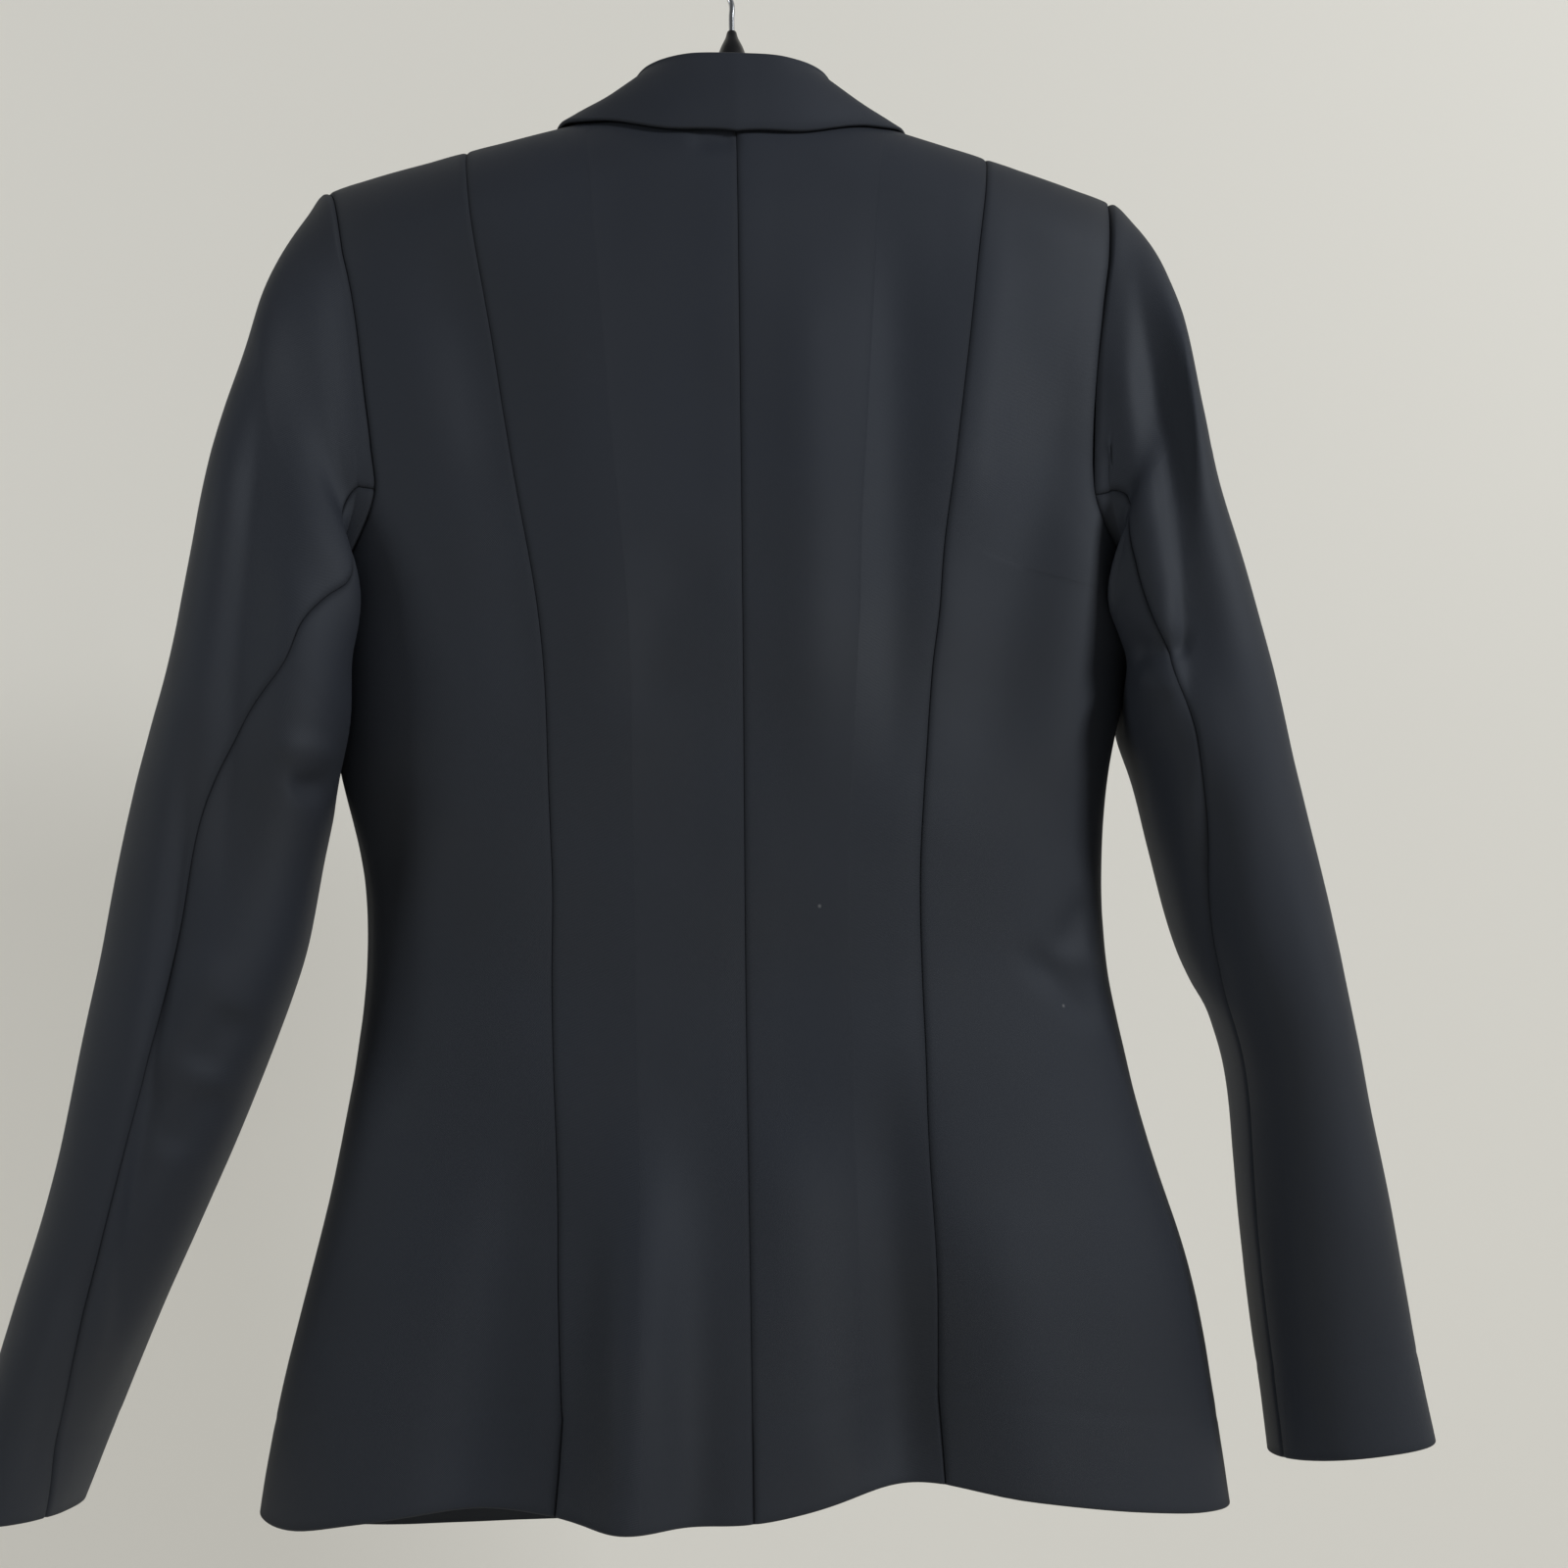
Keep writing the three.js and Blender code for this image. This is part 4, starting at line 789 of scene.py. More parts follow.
def collar(material):
    """Collar: a stand that rises from the neck seam, rolls over and falls to its outer edge."""
    at = spaced(COLLAR_LONG, COLLAR_STEP) * 2 - 1
    k = np.abs(at)
    side = np.where(at < 0, -1, 1)

    def seat(x, way, lift):
        right, left = (turn_at_x(s, x, np.abs(way), way < 0) for s in ("right", "left"))
        turn = np.where(at < 0, right, left)
        return torso(turn, np.abs(way)) + torso_normal(turn, np.abs(way)) * lift

    seam_way = collar_seam["way"](k)
    along_front = front_edge(-seam_way) - STAND_INSIDE * ease(-seam_way / STAND_EASE)
    seam = seat(np.where(seam_way >= 0, collar_seam["x"](k), along_front), seam_way, 0)
    seam[:, 2] += STAND_ABOVE
    edge = seat(collar_edge["x"](k), collar_edge["way"](k), COLLAR_LIFT)
    roll_x = collar_roll["x"](k)
    roll = np.stack([side * roll_x, collar_roll["y"](k), -collar_roll["down"](k) - ROLL_RADIUS], -1)
    out = unit((edge - roll) * (1, 1, 0))
    ring = [
        roll + out * ROLL_RADIUS * math.cos(math.radians(a)) + (0, 0, ROLL_RADIUS * math.sin(math.radians(a)))
        for a in (180, 135, 90, 45, 0)
    ]
    lying = ease((k - FALL_LIES[0]) / FALL_LIES[1])[:, None]
    fall = []
    for f in (0.3, 0.62):
        hanging = mix(ring[-1], edge, f) + out * FALL_BULGE * math.sin(math.pi * f)
        x = mix(roll_x + ROLL_RADIUS, collar_edge["x"](k), f)
        laid = seat(x, mix(collar_roll["way"](k), collar_edge["way"](k), f), COLLAR_LIFT + 1)
        fall.append(mix(hanging, laid, lying))
    section = np.stack([seam, mix(seam, ring[0], 0.5), *ring, *fall, edge], 1)
    q = [0, 0.03, 0.1, 0.25, 0.5, 0.75, 1, 1.25, 1.5, 1.75, 2]
    q += list(np.linspace(2, 6, 17)[1:]) + list(np.linspace(6, 9, 34)[1:-1])
    q += [8.93, 8.96, 8.98, 8.99, 8.996, 9]
    grid = through(section, np.array(sorted(set(q))))
    across, along = np.gradient(grid, axis=0), np.gradient(grid, axis=1)
    normals = unit(np.cross(across, along))
    lift = 0.35 * uneven(grid, 44, 6) + 0.12 * uneven(grid, 15, 7)
    edges = ("edge", "edge", "seam", "edge")
    thick = bpy.context.scene.blazer_sizes.cloth * 1000 + COLLAR_EXTRA
    return shell("cloth_collar", grid, normals, edges, thick, material, lift)


# Sleeves.
SLEEVE_LENGTH, TOP_SLEEVE_WIDE, UNDER_SLEEVE_WIDE = 600, 190, 120
FULL_TURN, TURN_SLACK, SAME_ROW = 360, 0.5, 1e-9
TUCK_RINGS, CREASE_RINGS, UNEVEN_RINGS, SLEEVE_UNEVEN = 0.2, 1.2, 0.8, 0.9
HEAD_TURN, HEAD_EASE, HEAD_ROLL, HEAD_START, HEAD_AT, HEAD_WIDE = 70, 40, 1.1, 3, 4, 7


def armhole_spot(side, q):
    """A point of an armhole: q counts its rows from the shoulder, + on the back and - on the front."""
    folded = np.where(q > UNDERARM_ROW, q - 2 * UNDERARM_ROW, q)
    folded = np.where(folded < -UNDERARM_ROW, folded + 2 * UNDERARM_ROW, folded)
    on_front = folded < 0
    way = arm_row["way"](np.abs(folded))
    turn = armhole_turn(side, on_front, way)
    hole = sign_of(side) * np.where(on_front, 180 - turn, turn)
    return way, hole, np.where(on_front, -1, 1) * arm_row["turn"](np.abs(folded))


def clear_of_torso(side, ring, p):
    """Holds a sleeve point just clear of the torso's side, below the widest stretch of the armhole."""
    down, on_back = -p[..., 2], p[..., 1] >= 0
    depth = np.where(on_back, body["back"](down), body["front"](down)) + SLEEVE_CLEAR
    share = np.abs(p[..., 1]) / depth
    away = (share >= 1) | (down < CLEAR_FROM_DOWN)
    square = body["square"](down)
    beside = (body[side](down) + SLEEVE_CLEAR) * np.clip(1 - share**square, 0, 1) ** (1 / square)
    low = np.clip(down - SHOULDER_DOWN, 0, None)
    edge = unit_section(armhole_turn(side, ~on_back, low), square)[1]
    held = ease((share - edge) / CLEAR_EASE + 1) * ease(ring / CLEAR_RINGS)
    x = np.abs(p[..., 0])
    soft = (x + beside + np.hypot(x - beside, CLEAR_SOFT)) / 2
    x = np.where(away, p[..., 0], sign_of(side) * mix(x, soft, held))
    return np.stack([x, p[..., 1], p[..., 2]], -1)


def near_hind_seam(turn):
    """Share of the hind-arm seam's swing at a turn round the sleeve: 1 at it, 0 at the fore-arm seam."""
    hind = ARM_ROWS["turn"][HIND_ARM_ROW]
    fore = FULL_TURN - ARM_ROWS["turn"][FORE_ARM_ROW]
    turn = np.where(turn < fore - FULL_TURN - TURN_SLACK, turn + FULL_TURN, turn)
    return np.where(turn <= hind, ease(turn / hind), 1 - ease((turn - hind) / (fore - hind)))


def sleeve_point(side, q, ring):
    c = {name: read(ring) for name, read in sleeve_at[side].items()}
    way, hole, around = armhole_spot(side, q)
    turn = around + c["swing"] * near_hind_seam(around)
    deep_share, out_share = unit_section(turn, c["square"])
    x = (c["outX"] + c["inX"]) / 2 + (c["outX"] - c["inX"]) / 2 * out_share
    z = -(c["outDown"] + c["inDown"]) / 2 - (c["outDown"] - c["inDown"]) / 2 * out_share
    y = c["midY"] + c["deep"] * deep_share
    x = x - lap_at(ring) * bell((turn - LAP_TURN) / LAP_WIDE)
    z = z + CUFF_RISE * deep_share * ease((ring - CUFF_RISE_FROM) / CUFF_RISE_OVER)
    section = np.stack(np.broadcast_arrays(sign_of(side) * x, y, z), -1)
    p = mix(torso(hole, way), section, ease(ring / SEAM_BLEND)[..., None])
    return clear_of_torso(side, ring, p)


def sleeve_panel(name, side, first, last, length, material):
    s = sign_of(side)
    columns = mix(first, last, spaced(length, STEP))
    rings = spaced(SLEEVE_LENGTH, STEP) * LAST_RING
    q, ring = np.broadcast_arrays(columns[:, None], rings[None])
    grid = sleeve_point(side, q, ring)
    across = sleeve_point(side, q + RING_STEP, ring) - sleeve_point(side, q - RING_STEP, ring)
    low, high = np.maximum(ring - RING_STEP, 0), np.minimum(ring + RING_STEP, LAST_RING)
    along = sleeve_point(side, q, high) - sleeve_point(side, q, low)
    own = s * unit(np.cross(along, across))
    way, hole, around = armhole_spot(side, q)
    shared = torso_normal(hole, way)
    normals = unit(mix(shared, own, ease(ring / SHARED_RINGS)[..., None]))
    at_hole = sleeve_point(side, q + RING_STEP, 0 * ring) - sleeve_point(side, q - RING_STEP, 0 * ring)
    away = s * unit(np.cross(at_hole, shared))
    grid = grid - away * (SEAM_TUCK * (1 - ease(ring / TUCK_RINGS)))[..., None]
    seam_gap = (np.abs(q - first) < SAME_ROW) * 1.0 - (np.abs(q - last) < SAME_ROW) * 1.0
    grid = grid - unit(across) * (seam_gap * SEAM_TUCK)[..., None]
    lift = creased(grid, normals, SLEEVE_CREASES[side]) * ease(ring / CREASE_RINGS)
    for i, (size, height) in enumerate(zip(*UNEVEN.values())):
        lift = lift + SLEEVE_UNEVEN * height * uneven(grid, size, i) * ease(ring / UNEVEN_RINGS)
    down_sleeve = lengths(grid, 1)
    head = ease((HEAD_TURN - np.abs(around)) / HEAD_EASE)
    lift = lift + HEAD_ROLL * head * ease(down_sleeve / HEAD_START) * bell((down_sleeve - HEAD_AT) / HEAD_WIDE)
    sizes = bpy.context.scene.blazer_sizes
    edges = ("seam", "seam", "seam", "hem")
    return shell("cloth_" + name, grid, normals, edges, sizes.cloth * 1000, material, lift, HEM_TURN)


# Button and hanger.
BUTTON_DOWN, BUTTON_RADIUS, BUTTON_THICK, BUTTON_OFF = 522, 10, 2.4, 0.9
HOLE_REACH, HOLE_RADIUS = 2.3, 1.0
THREAD_RADIUS, THREAD_LOW, THREAD_UP, THREAD_TOP, THREAD_LEVEL = 0.55, -0.6, 1.2, 2.05, 0.6
BAR_UNDER_SHOULDER, BAR_RADIUS, BAR_GAP = (176, 150, 120, 95, 76), 4.5, 0.8
HOOK_INSIDE, WIRE_RADIUS = 18, 1.5


def turned(name, profile, sides, material):
    """A lathed piece about Z from a profile of (radius, height)."""
    profile = np.array(profile, float)
    angle = np.linspace(0, 2 * np.pi, sides, endpoint=False)
    ring = np.stack(
        [
            profile[:, 0][None] * np.cos(angle)[:, None],
            profile[:, 0][None] * np.sin(angle)[:, None],
            np.broadcast_to(profile[:, 1][None], (sides, len(profile))),
        ],
        -1,
    )
    ids = np.arange(sides * len(profile)).reshape(sides, len(profile))
    nxt = np.roll(ids, -1, axis=0)
    quads = np.stack([ids[:, :-1], nxt[:, :-1], nxt[:, 1:], ids[:, 1:]], -1).reshape(-1, 4)
    obj = mesh_object(name, ring.reshape(-1, 3) * MM, quads, material)
    weld(obj)
    return obj


def weld(obj):
    bm = bmesh.new()
    bm.from_mesh(obj.data)
    bmesh.ops.remove_doubles(bm, verts=bm.verts, dist=1e-6)
    bmesh.ops.holes_fill(bm, edges=bm.edges, sides=0)
    bmesh.ops.recalc_face_normals(bm, faces=bm.faces)
    for face in bm.faces:
        face.smooth = True
    bm.to_mesh(obj.data)
    bm.free()


def smooth_path(points, parts):
    """Many points on a smooth curve through a few."""
    points = np.array(points, float)[None]
    return through(points, np.linspace(0, points.shape[1] - 1, parts + 1))[0]


def tube(name, path, radius, sides, material, depth_axis=(0, 1, 0), flat=1.0, fins=0.0):
    """A tube along a path, round or flattened, with rounded ends."""
    path = np.asarray(path, float)
    forward = unit(np.gradient(path, axis=0))
    side = unit(np.cross(forward, np.array(depth_axis, float)))
    deep = np.cross(side, forward)
    turn = np.linspace(0, 2 * np.pi, sides, endpoint=False)
    cap = np.sin(np.radians([2, 25, 50, 75]))
    back = np.cos(np.radians([2, 25, 50, 75]))
    spots, frames, sizes = [], [], []
    for share, off in zip(cap, back):
        spots.append(path[0] - forward[0] * radius * off)
        frames.append(0)
        sizes.append(share)
    for i in range(len(path)):
        spots.append(path[i])
        frames.append(i)
        sizes.append(1.0)
    for share, off in zip(cap[::-1], back[::-1]):
        spots.append(path[-1] + forward[-1] * radius * off)
        frames.append(len(path) - 1)
        sizes.append(share)
    spots, frames, sizes = np.array(spots), np.array(frames), np.array(sizes)
    ridge = 1 + fins * np.exp(-((np.abs(np.cos(turn)) - 1) ** 2) / 0.0004)
    ring = (
        spots[:, None]
        + side[frames][:, None] * (np.cos(turn) * ridge)[None, :, None] * (radius * sizes)[:, None, None]
        + deep[frames][:, None] * np.sin(turn)[None, :, None] * (radius * flat * sizes)[:, None, None]
    )
    ids = np.arange(len(spots) * sides).reshape(len(spots), sides)
    nxt = np.roll(ids, -1, axis=1)
    quads = np.stack([ids[:-1], nxt[:-1], nxt[1:], ids[1:]], -1).reshape(-1, 4)
    obj = mesh_object(name, ring.reshape(-1, 3) * MM, quads, material)
    weld(obj)
    return obj


# Materials.


class Nodes:
    """A short way to place and link the nodes of a tree."""

    def __init__(self, tree):
        self.tree = tree
        self.x = 0

    def add(self, kind, settings=None, **inputs):
        node = self.tree.nodes.new("ShaderNode" + kind)
        self.x += 180
        node.location = (self.x, 0)
        for key, value in (settings or {}).items():
            setattr(node, key, value)
        for key, value in inputs.items():
            numbered = key[0] == "i" and key[1:].isdigit()
            self.feed(node.inputs[int(key[1:]) if numbered else key.replace("_", " ")], value)
        return node

    def feed(self, socket, value):
        """Links a socket to another one, or sets its value."""
        if isinstance(value, bpy.types.NodeSocket):
            self.tree.links.new(value, socket)
        else:
            socket.default_value = value

    def math(self, operation, a, b=0.0):
        return self.add("Math", {"operation": operation}, i0=a, i1=b).outputs[0]

    def noise(self, vector, scale, detail=2.0, rough=0.5):
        made = self.add("TexNoise", None, Vector=vector, Scale=scale, Detail=detail, Roughness=rough)
        return made.outputs["Fac"]

    def range(self, value, low, high, to_low, to_high):
        made = self.add("MapRange", None, Value=value)
        for key, number in zip(("From Min", "From Max", "To Min", "To Max"), (low, high, to_low, to_high)):
            made.inputs[key].default_value = number
        return made.outputs[0]

    def mix_colour(self, share, a, b):
        made = self.add("Mix", {"data_type": "RGBA"})
        for place, value in zip((0, 6, 7), (share, a, b)):
            self.feed(made.inputs[place], value)
        return made.outputs[2]


def group(name, inputs, outputs, fill):
    """A shader node group with named inputs and outputs."""
    if name in bpy.data.node_groups:
        return bpy.data.node_groups[name]
    tree = bpy.data.node_groups.new(name, "ShaderNodeTree")
    for label, kind, value in inputs:
        socket = tree.interface.new_socket(name=label, in_out="INPUT", socket_type=kind)
        if value is not None:
            socket.default_value = value
    for label, kind in outputs:
        tree.interface.new_socket(name=label, in_out="OUTPUT", socket_type=kind)
    nodes = Nodes(tree)
    begin, end = tree.nodes.new("NodeGroupInput"), tree.nodes.new("NodeGroupOutput")
    for label, socket in fill(nodes, begin.outputs).items():
        tree.links.new(socket, end.inputs[label])
    return tree


def twill_group():
    """Fine twill: slanting ribs of yarn, each a little uneven, and painted shade that darkens the hollows
    between them.
    """

    def fill(n, given):
        place, pitch, wobble = given["Place"], given["Pitch"], given["Wobble"]
        slant = n.add("VectorMath", {"operation": "DOT_PRODUCT"}, i0=place, i1=(0.86, 1.32, 0)).outputs["Value"]
        cross = n.add("VectorMath", {"operation": "DOT_PRODUCT"}, i0=place, i1=(1.0, 0.0, 0)).outputs["Value"]
        drift = n.math("MULTIPLY", n.math("MULTIPLY", n.noise(place, 420.0), wobble), pitch)
        rib = n.math("SINE", n.math("MULTIPLY", n.math("DIVIDE", n.math("ADD", slant, drift), pitch), 6.2832))
        yarn = n.math("SINE", n.math("MULTIPLY", n.math("DIVIDE", cross, pitch), 12.566))
        fibre = n.noise(place, 2600.0, 3.0, 0.6)
        height = n.math("ADD", n.math("MULTIPLY", rib, 0.36), n.math("MULTIPLY", yarn, 0.12))
        height = n.math("ADD", height, n.math("MULTIPLY", fibre, 0.6))
        # The second output is low in the hollows of the weave and high on its ribs; it sets where shade is
        # painted.
        return {"Height": height, "Tone": n.range(height, -0.3, 1.0, 0.0, 1.0)}

    return group(
        "fine_twill",
        [
            ("Place", "NodeSocketVector", None),
            ("Pitch", "NodeSocketFloat", 0.0008),
            ("Wobble", "NodeSocketFloat", 0.8),
        ],
        [("Height", "NodeSocketFloat"), ("Tone", "NodeSocketFloat")],
        fill,
    )


def wear_group():
    """Soft cloudiness of handled cloth or plastic, and sparse lint."""

    def fill(n, given):
        place = given["Place"]
        broad = n.noise(place, given["Cloud"], 3.0, 0.55)
        specks = n.add("TexVoronoi", None, Vector=place, Scale=given["Speck"]).outputs["Distance"]
        chosen = n.math("GREATER_THAN", n.noise(place, given["Speck"], 0.0), 0.72)
        lint = n.math("MULTIPLY", n.range(specks, 0.02, 0.05, 1.0, 0.0), chosen)
        return {"Cloud": n.range(broad, 0.3, 0.7, 0.0, 1.0), "Lint": lint}

    return group(
        "cloud_and_lint",
        [
            ("Place", "NodeSocketVector", None),
            ("Cloud", "NodeSocketFloat", 9.0),
            ("Speck", "NodeSocketFloat", 60.0),
        ],
        [("Cloud", "NodeSocketFloat"), ("Lint", "NodeSocketFloat")],
        fill,
    )


def new_material(name):
    material = bpy.data.materials.new(name)
    material.use_nodes = True
    material.node_tree.nodes.clear()
    nodes = Nodes(material.node_tree)
    out = nodes.add("OutputMaterial")
    shader = nodes.add("BsdfPrincipled")
    material.node_tree.links.new(shader.outputs[0], out.inputs["Surface"])
    return material, nodes, shader


def put(shader, **values):
    for key, value in values.items():
        shader.inputs[key.replace("_", " ")].default_value = value


def suiting_material():
    colours = bpy.context.scene.blazer_colours
    material, n, shader = new_material("worn_suiting")
    place = n.add("Attribute", {"attribute_name": "cloth_place"}).outputs["Vector"]
    pressed_and_shaded = n.add("Attribute", {"attribute_name": "pressed_and_shaded"}).outputs["Fac"]
    where = n.add("TexCoord").outputs["Object"]
    twill = n.add("Group", {"node_tree": twill_group()}, Place=place)
    wear = n.add("Group", {"node_tree": wear_group()}, Place=where)
    wear.inputs["Cloud"].default_value = 7.0
    wear.inputs["Speck"].default_value = 45.0
    base = tuple(colours.suiting) + (1,)
    # deep is a shaded copy of the cloth's colour, used to paint shade into the weave's hollows and along seams,
    # edges and hems.
    deep = tuple(c * 0.72 for c in colours.suiting) + (1,)
    blue = tuple(c * f for c, f in zip(colours.suiting, (0.92, 1.0, 1.14))) + (1,)
    tone = n.mix_colour(wear.outputs["Cloud"], base, blue)
    # Painted shade: the hollows of the twill are darkened towards the shaded copy of the cloth's colour.
    tone = n.mix_colour(n.range(twill.outputs["Tone"], 0, 1, 0.55, 0.0), tone, deep)
    # Painted shade: seams, edges and hems are darkened towards the shaded copy of the colour where the pressed
    # mask is high.
    tone = n.mix_colour(n.range(pressed_and_shaded, 0, 1, 0, 0.5), tone, deep)
    tone = n.mix_colour(n.math("MULTIPLY", wear.outputs["Lint"], 0.5), tone, (0.2, 0.2, 0.2, 1))
    n.tree.links.new(tone, shader.inputs["Base Color"])
    rough = n.range(wear.outputs["Cloud"], 0, 1, 0.64, 0.72)
    rough = n.math("ADD", rough, n.math("MULTIPLY", pressed_and_shaded, 0.18))
    n.tree.links.new(rough, shader.inputs["Roughness"])
    bump = n.add("Bump", None, Height=twill.outputs["Height"], Strength=0.35, Distance=0.00012)
    n.tree.links.new(bump.outputs[0], shader.inputs["Normal"])
    put(shader, Specular_IOR_Level=0.36, Specular_Tint=(0.9, 0.95, 1.0, 1))
    return material


def plastic_material():
    colours = bpy.context.scene.blazer_colours
    material, n, shader = new_material("moulded_black")
    where = n.add("TexCoord").outputs["Object"]
    wear = n.add("Group", {"node_tree": wear_group()}, Place=where)
    wear.inputs["Cloud"].default_value = 30.0
    wear.inputs["Speck"].default_value = 120.0
    base = tuple(colours.plastic) + (1,)
    tone = n.mix_colour(wear.outputs["Cloud"], base, tuple(c * 1.6 for c in colours.plastic) + (1,))
    n.tree.links.new(tone, shader.inputs["Base Color"])
    n.tree.links.new(n.range(wear.outputs["Cloud"], 0, 1, 0.3, 0.42), shader.inputs["Roughness"])
    grain = n.noise(where, 2200.0, 2.0, 0.6)
    bump = n.add("Bump", None, Height=grain, Strength=0.15, Distance=0.0001)
    n.tree.links.new(bump.outputs[0], shader.inputs["Normal"])
    return material


def steel_material():
    colours = bpy.context.scene.blazer_colours
    material, n, shader = new_material("drawn_steel")
    where = n.add("TexCoord").outputs["Object"]
    drawn = n.add("Mapping", None, Vector=where)
    drawn.inputs["Scale"].default_value = (3000, 3000, 120)
    lines = n.noise(drawn.outputs[0], 1.0, 2.0, 0.5)
    base = tuple(colours.steel) + (1,)
    tone = n.mix_colour(lines, base, tuple(c * 0.8 for c in colours.steel) + (1,))
    n.tree.links.new(tone, shader.inputs["Base Color"])
    n.tree.links.new(n.range(lines, 0, 1, 0.14, 0.3), shader.inputs["Roughness"])
    bump = n.add("Bump", None, Height=lines, Strength=0.1, Distance=0.00005)
    n.tree.links.new(bump.outputs[0], shader.inputs["Normal"])
    put(shader, Metallic=1.0)
    return material


def thread_material():
    material, n, shader = new_material("sewing_thread")
    where = n.add("TexCoord").outputs["Object"]
    twist = n.add("TexWave", {"bands_direction": "DIAGONAL"}, Vector=where, Scale=900.0).outputs["Fac"]
    # Painted shade: the twist's grooves are darker than its ridges, following the same waves as the bump.
    tone = n.mix_colour(twist, (0.006, 0.006, 0.007, 1), (0.02, 0.021, 0.024, 1))
    n.tree.links.new(tone, shader.inputs["Base Color"])
    bump = n.add("Bump", None, Height=twist, Strength=0.4, Distance=0.0001)
    n.tree.links.new(bump.outputs[0], shader.inputs["Normal"])
    put(shader, Roughness=0.7)
    return material


def once(name, make):
    return bpy.data.materials.get(name) or make()


def hold(piece, slot, *nodes):
    """Puts a piece in the place of its nodes, on the one body that the blazer has."""
    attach(piece, "root")
    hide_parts(*nodes)


def hang(piece, node):
    hold(piece, "suiting", node)


# Settings that a user would change.


class BlazerSizes(bpy.types.PropertyGroup):
    """Sizes of the cloth and its sewing"""

    cloth: FloatProperty(name="Cloth", description="Thickness of the cloth", default=0.0014, unit="LENGTH")
    seam_depth: FloatProperty(
        name="Seam depth", description="How far a seam sinks in", default=0.0006, unit="LENGTH"
    )
    seam_width: FloatProperty(
        name="Seam width", description="How wide a seam's dip is", default=0.0012, unit="LENGTH"
    )
    button_rim: FloatProperty(
        name="Button rim", description="Width of the button's rim", default=0.002, unit="LENGTH"
    )


class BlazerColours(bpy.types.PropertyGroup):
    """Colours of the blazer and its hanger"""

    suiting: FloatVectorProperty(
        name="Suiting",
        description="Colour of the cloth",
        default=(0.0180, 0.0200, 0.0255),
        subtype="COLOR",
        size=3,
    )
    plastic: FloatVectorProperty(
        name="Plastic",
        description="Colour of the hanger",
        default=(0.006, 0.006, 0.0065),
        subtype="COLOR",
        size=3,
    )
    steel: FloatVectorProperty(
        name="Steel",
        description="Colour of the hook",
        default=(0.72, 0.73, 0.74),
        subtype="COLOR",
        size=3,
    )


class BlazerStage(bpy.types.PropertyGroup):
    """Light and backdrop"""

    key: FloatProperty(name="Key light", description="Power of the main light", default=52.0, unit="POWER")
    fill: FloatProperty(
        name="Fill light", description="Power of the second light", default=12.0, unit="POWER"
    )
    room: FloatProperty(name="Room light", description="Strength of the light from all round", default=0.1)
    glow: FloatProperty(name="Backdrop glow", description="Light given off by the backdrop", default=0.47)
    backdrop: FloatVectorProperty(
        name="Backdrop",
        description="Colour of floor and wall",
        default=(0.74, 0.72, 0.66),
        subtype="COLOR",
        size=3,
    )


# Operators.


class BLAZER_OT_body(bpy.types.Operator):
    """Makes the six panels of back and front"""

    bl_idname = "blazer.make_body"
    bl_label = "Make body panels"

    def execute(self, context):
        material = once("worn_suiting", suiting_material)
        for side in ("left", "right"):
            for kind, make in (("back_centre", back_centre), ("back_side", back_side), ("front", front)):
                node = f"{kind}_{side}"
                hang(torso_panel(node, make, side, material), node)
        return {"FINISHED"}


class BLAZER_OT_lapels(bpy.types.Operator):
    """Makes the two lapels, rolled back over the fronts"""

    bl_idname = "blazer.make_lapels"
    bl_label = "Make lapels"

    def execute(self, context):
        material = once("worn_suiting", suiting_material)
        for side in ("left", "right"):
            hang(lapel(side, material), f"lapel_{side}")
        return {"FINISHED"}


class BLAZER_OT_collar(bpy.types.Operator):
    """Makes the turned collar"""

    bl_idname = "blazer.make_collar"
    bl_label = "Make collar"

    def execute(self, context):
        piece = collar(once("worn_suiting", suiting_material))
        hang(piece, "collar")
        return {"FINISHED"}


class BLAZER_OT_sleeves(bpy.types.Operator):
    """Makes the two-piece sleeves"""

    bl_idname = "blazer.make_sleeves"
    bl_label = "Make sleeves"

    def execute(self, context):
        material = once("worn_suiting", suiting_material)
        for side in ("left", "right"):
            rows = (-FORE_ARM_ROW, HIND_ARM_ROW)
            top = sleeve_panel(f"top_sleeve_{side}", side, *rows, TOP_SLEEVE_WIDE, material)
            hang(top, f"top_sleeve_{side}")
            rows = (HIND_ARM_ROW, 2 * UNDERARM_ROW - FORE_ARM_ROW)
            under = sleeve_panel(f"under_sleeve_{side}", side, *rows, UNDER_SLEEVE_WIDE, material)
            hang(under, f"under_sleeve_{side}")
        return {"FINISHED"}


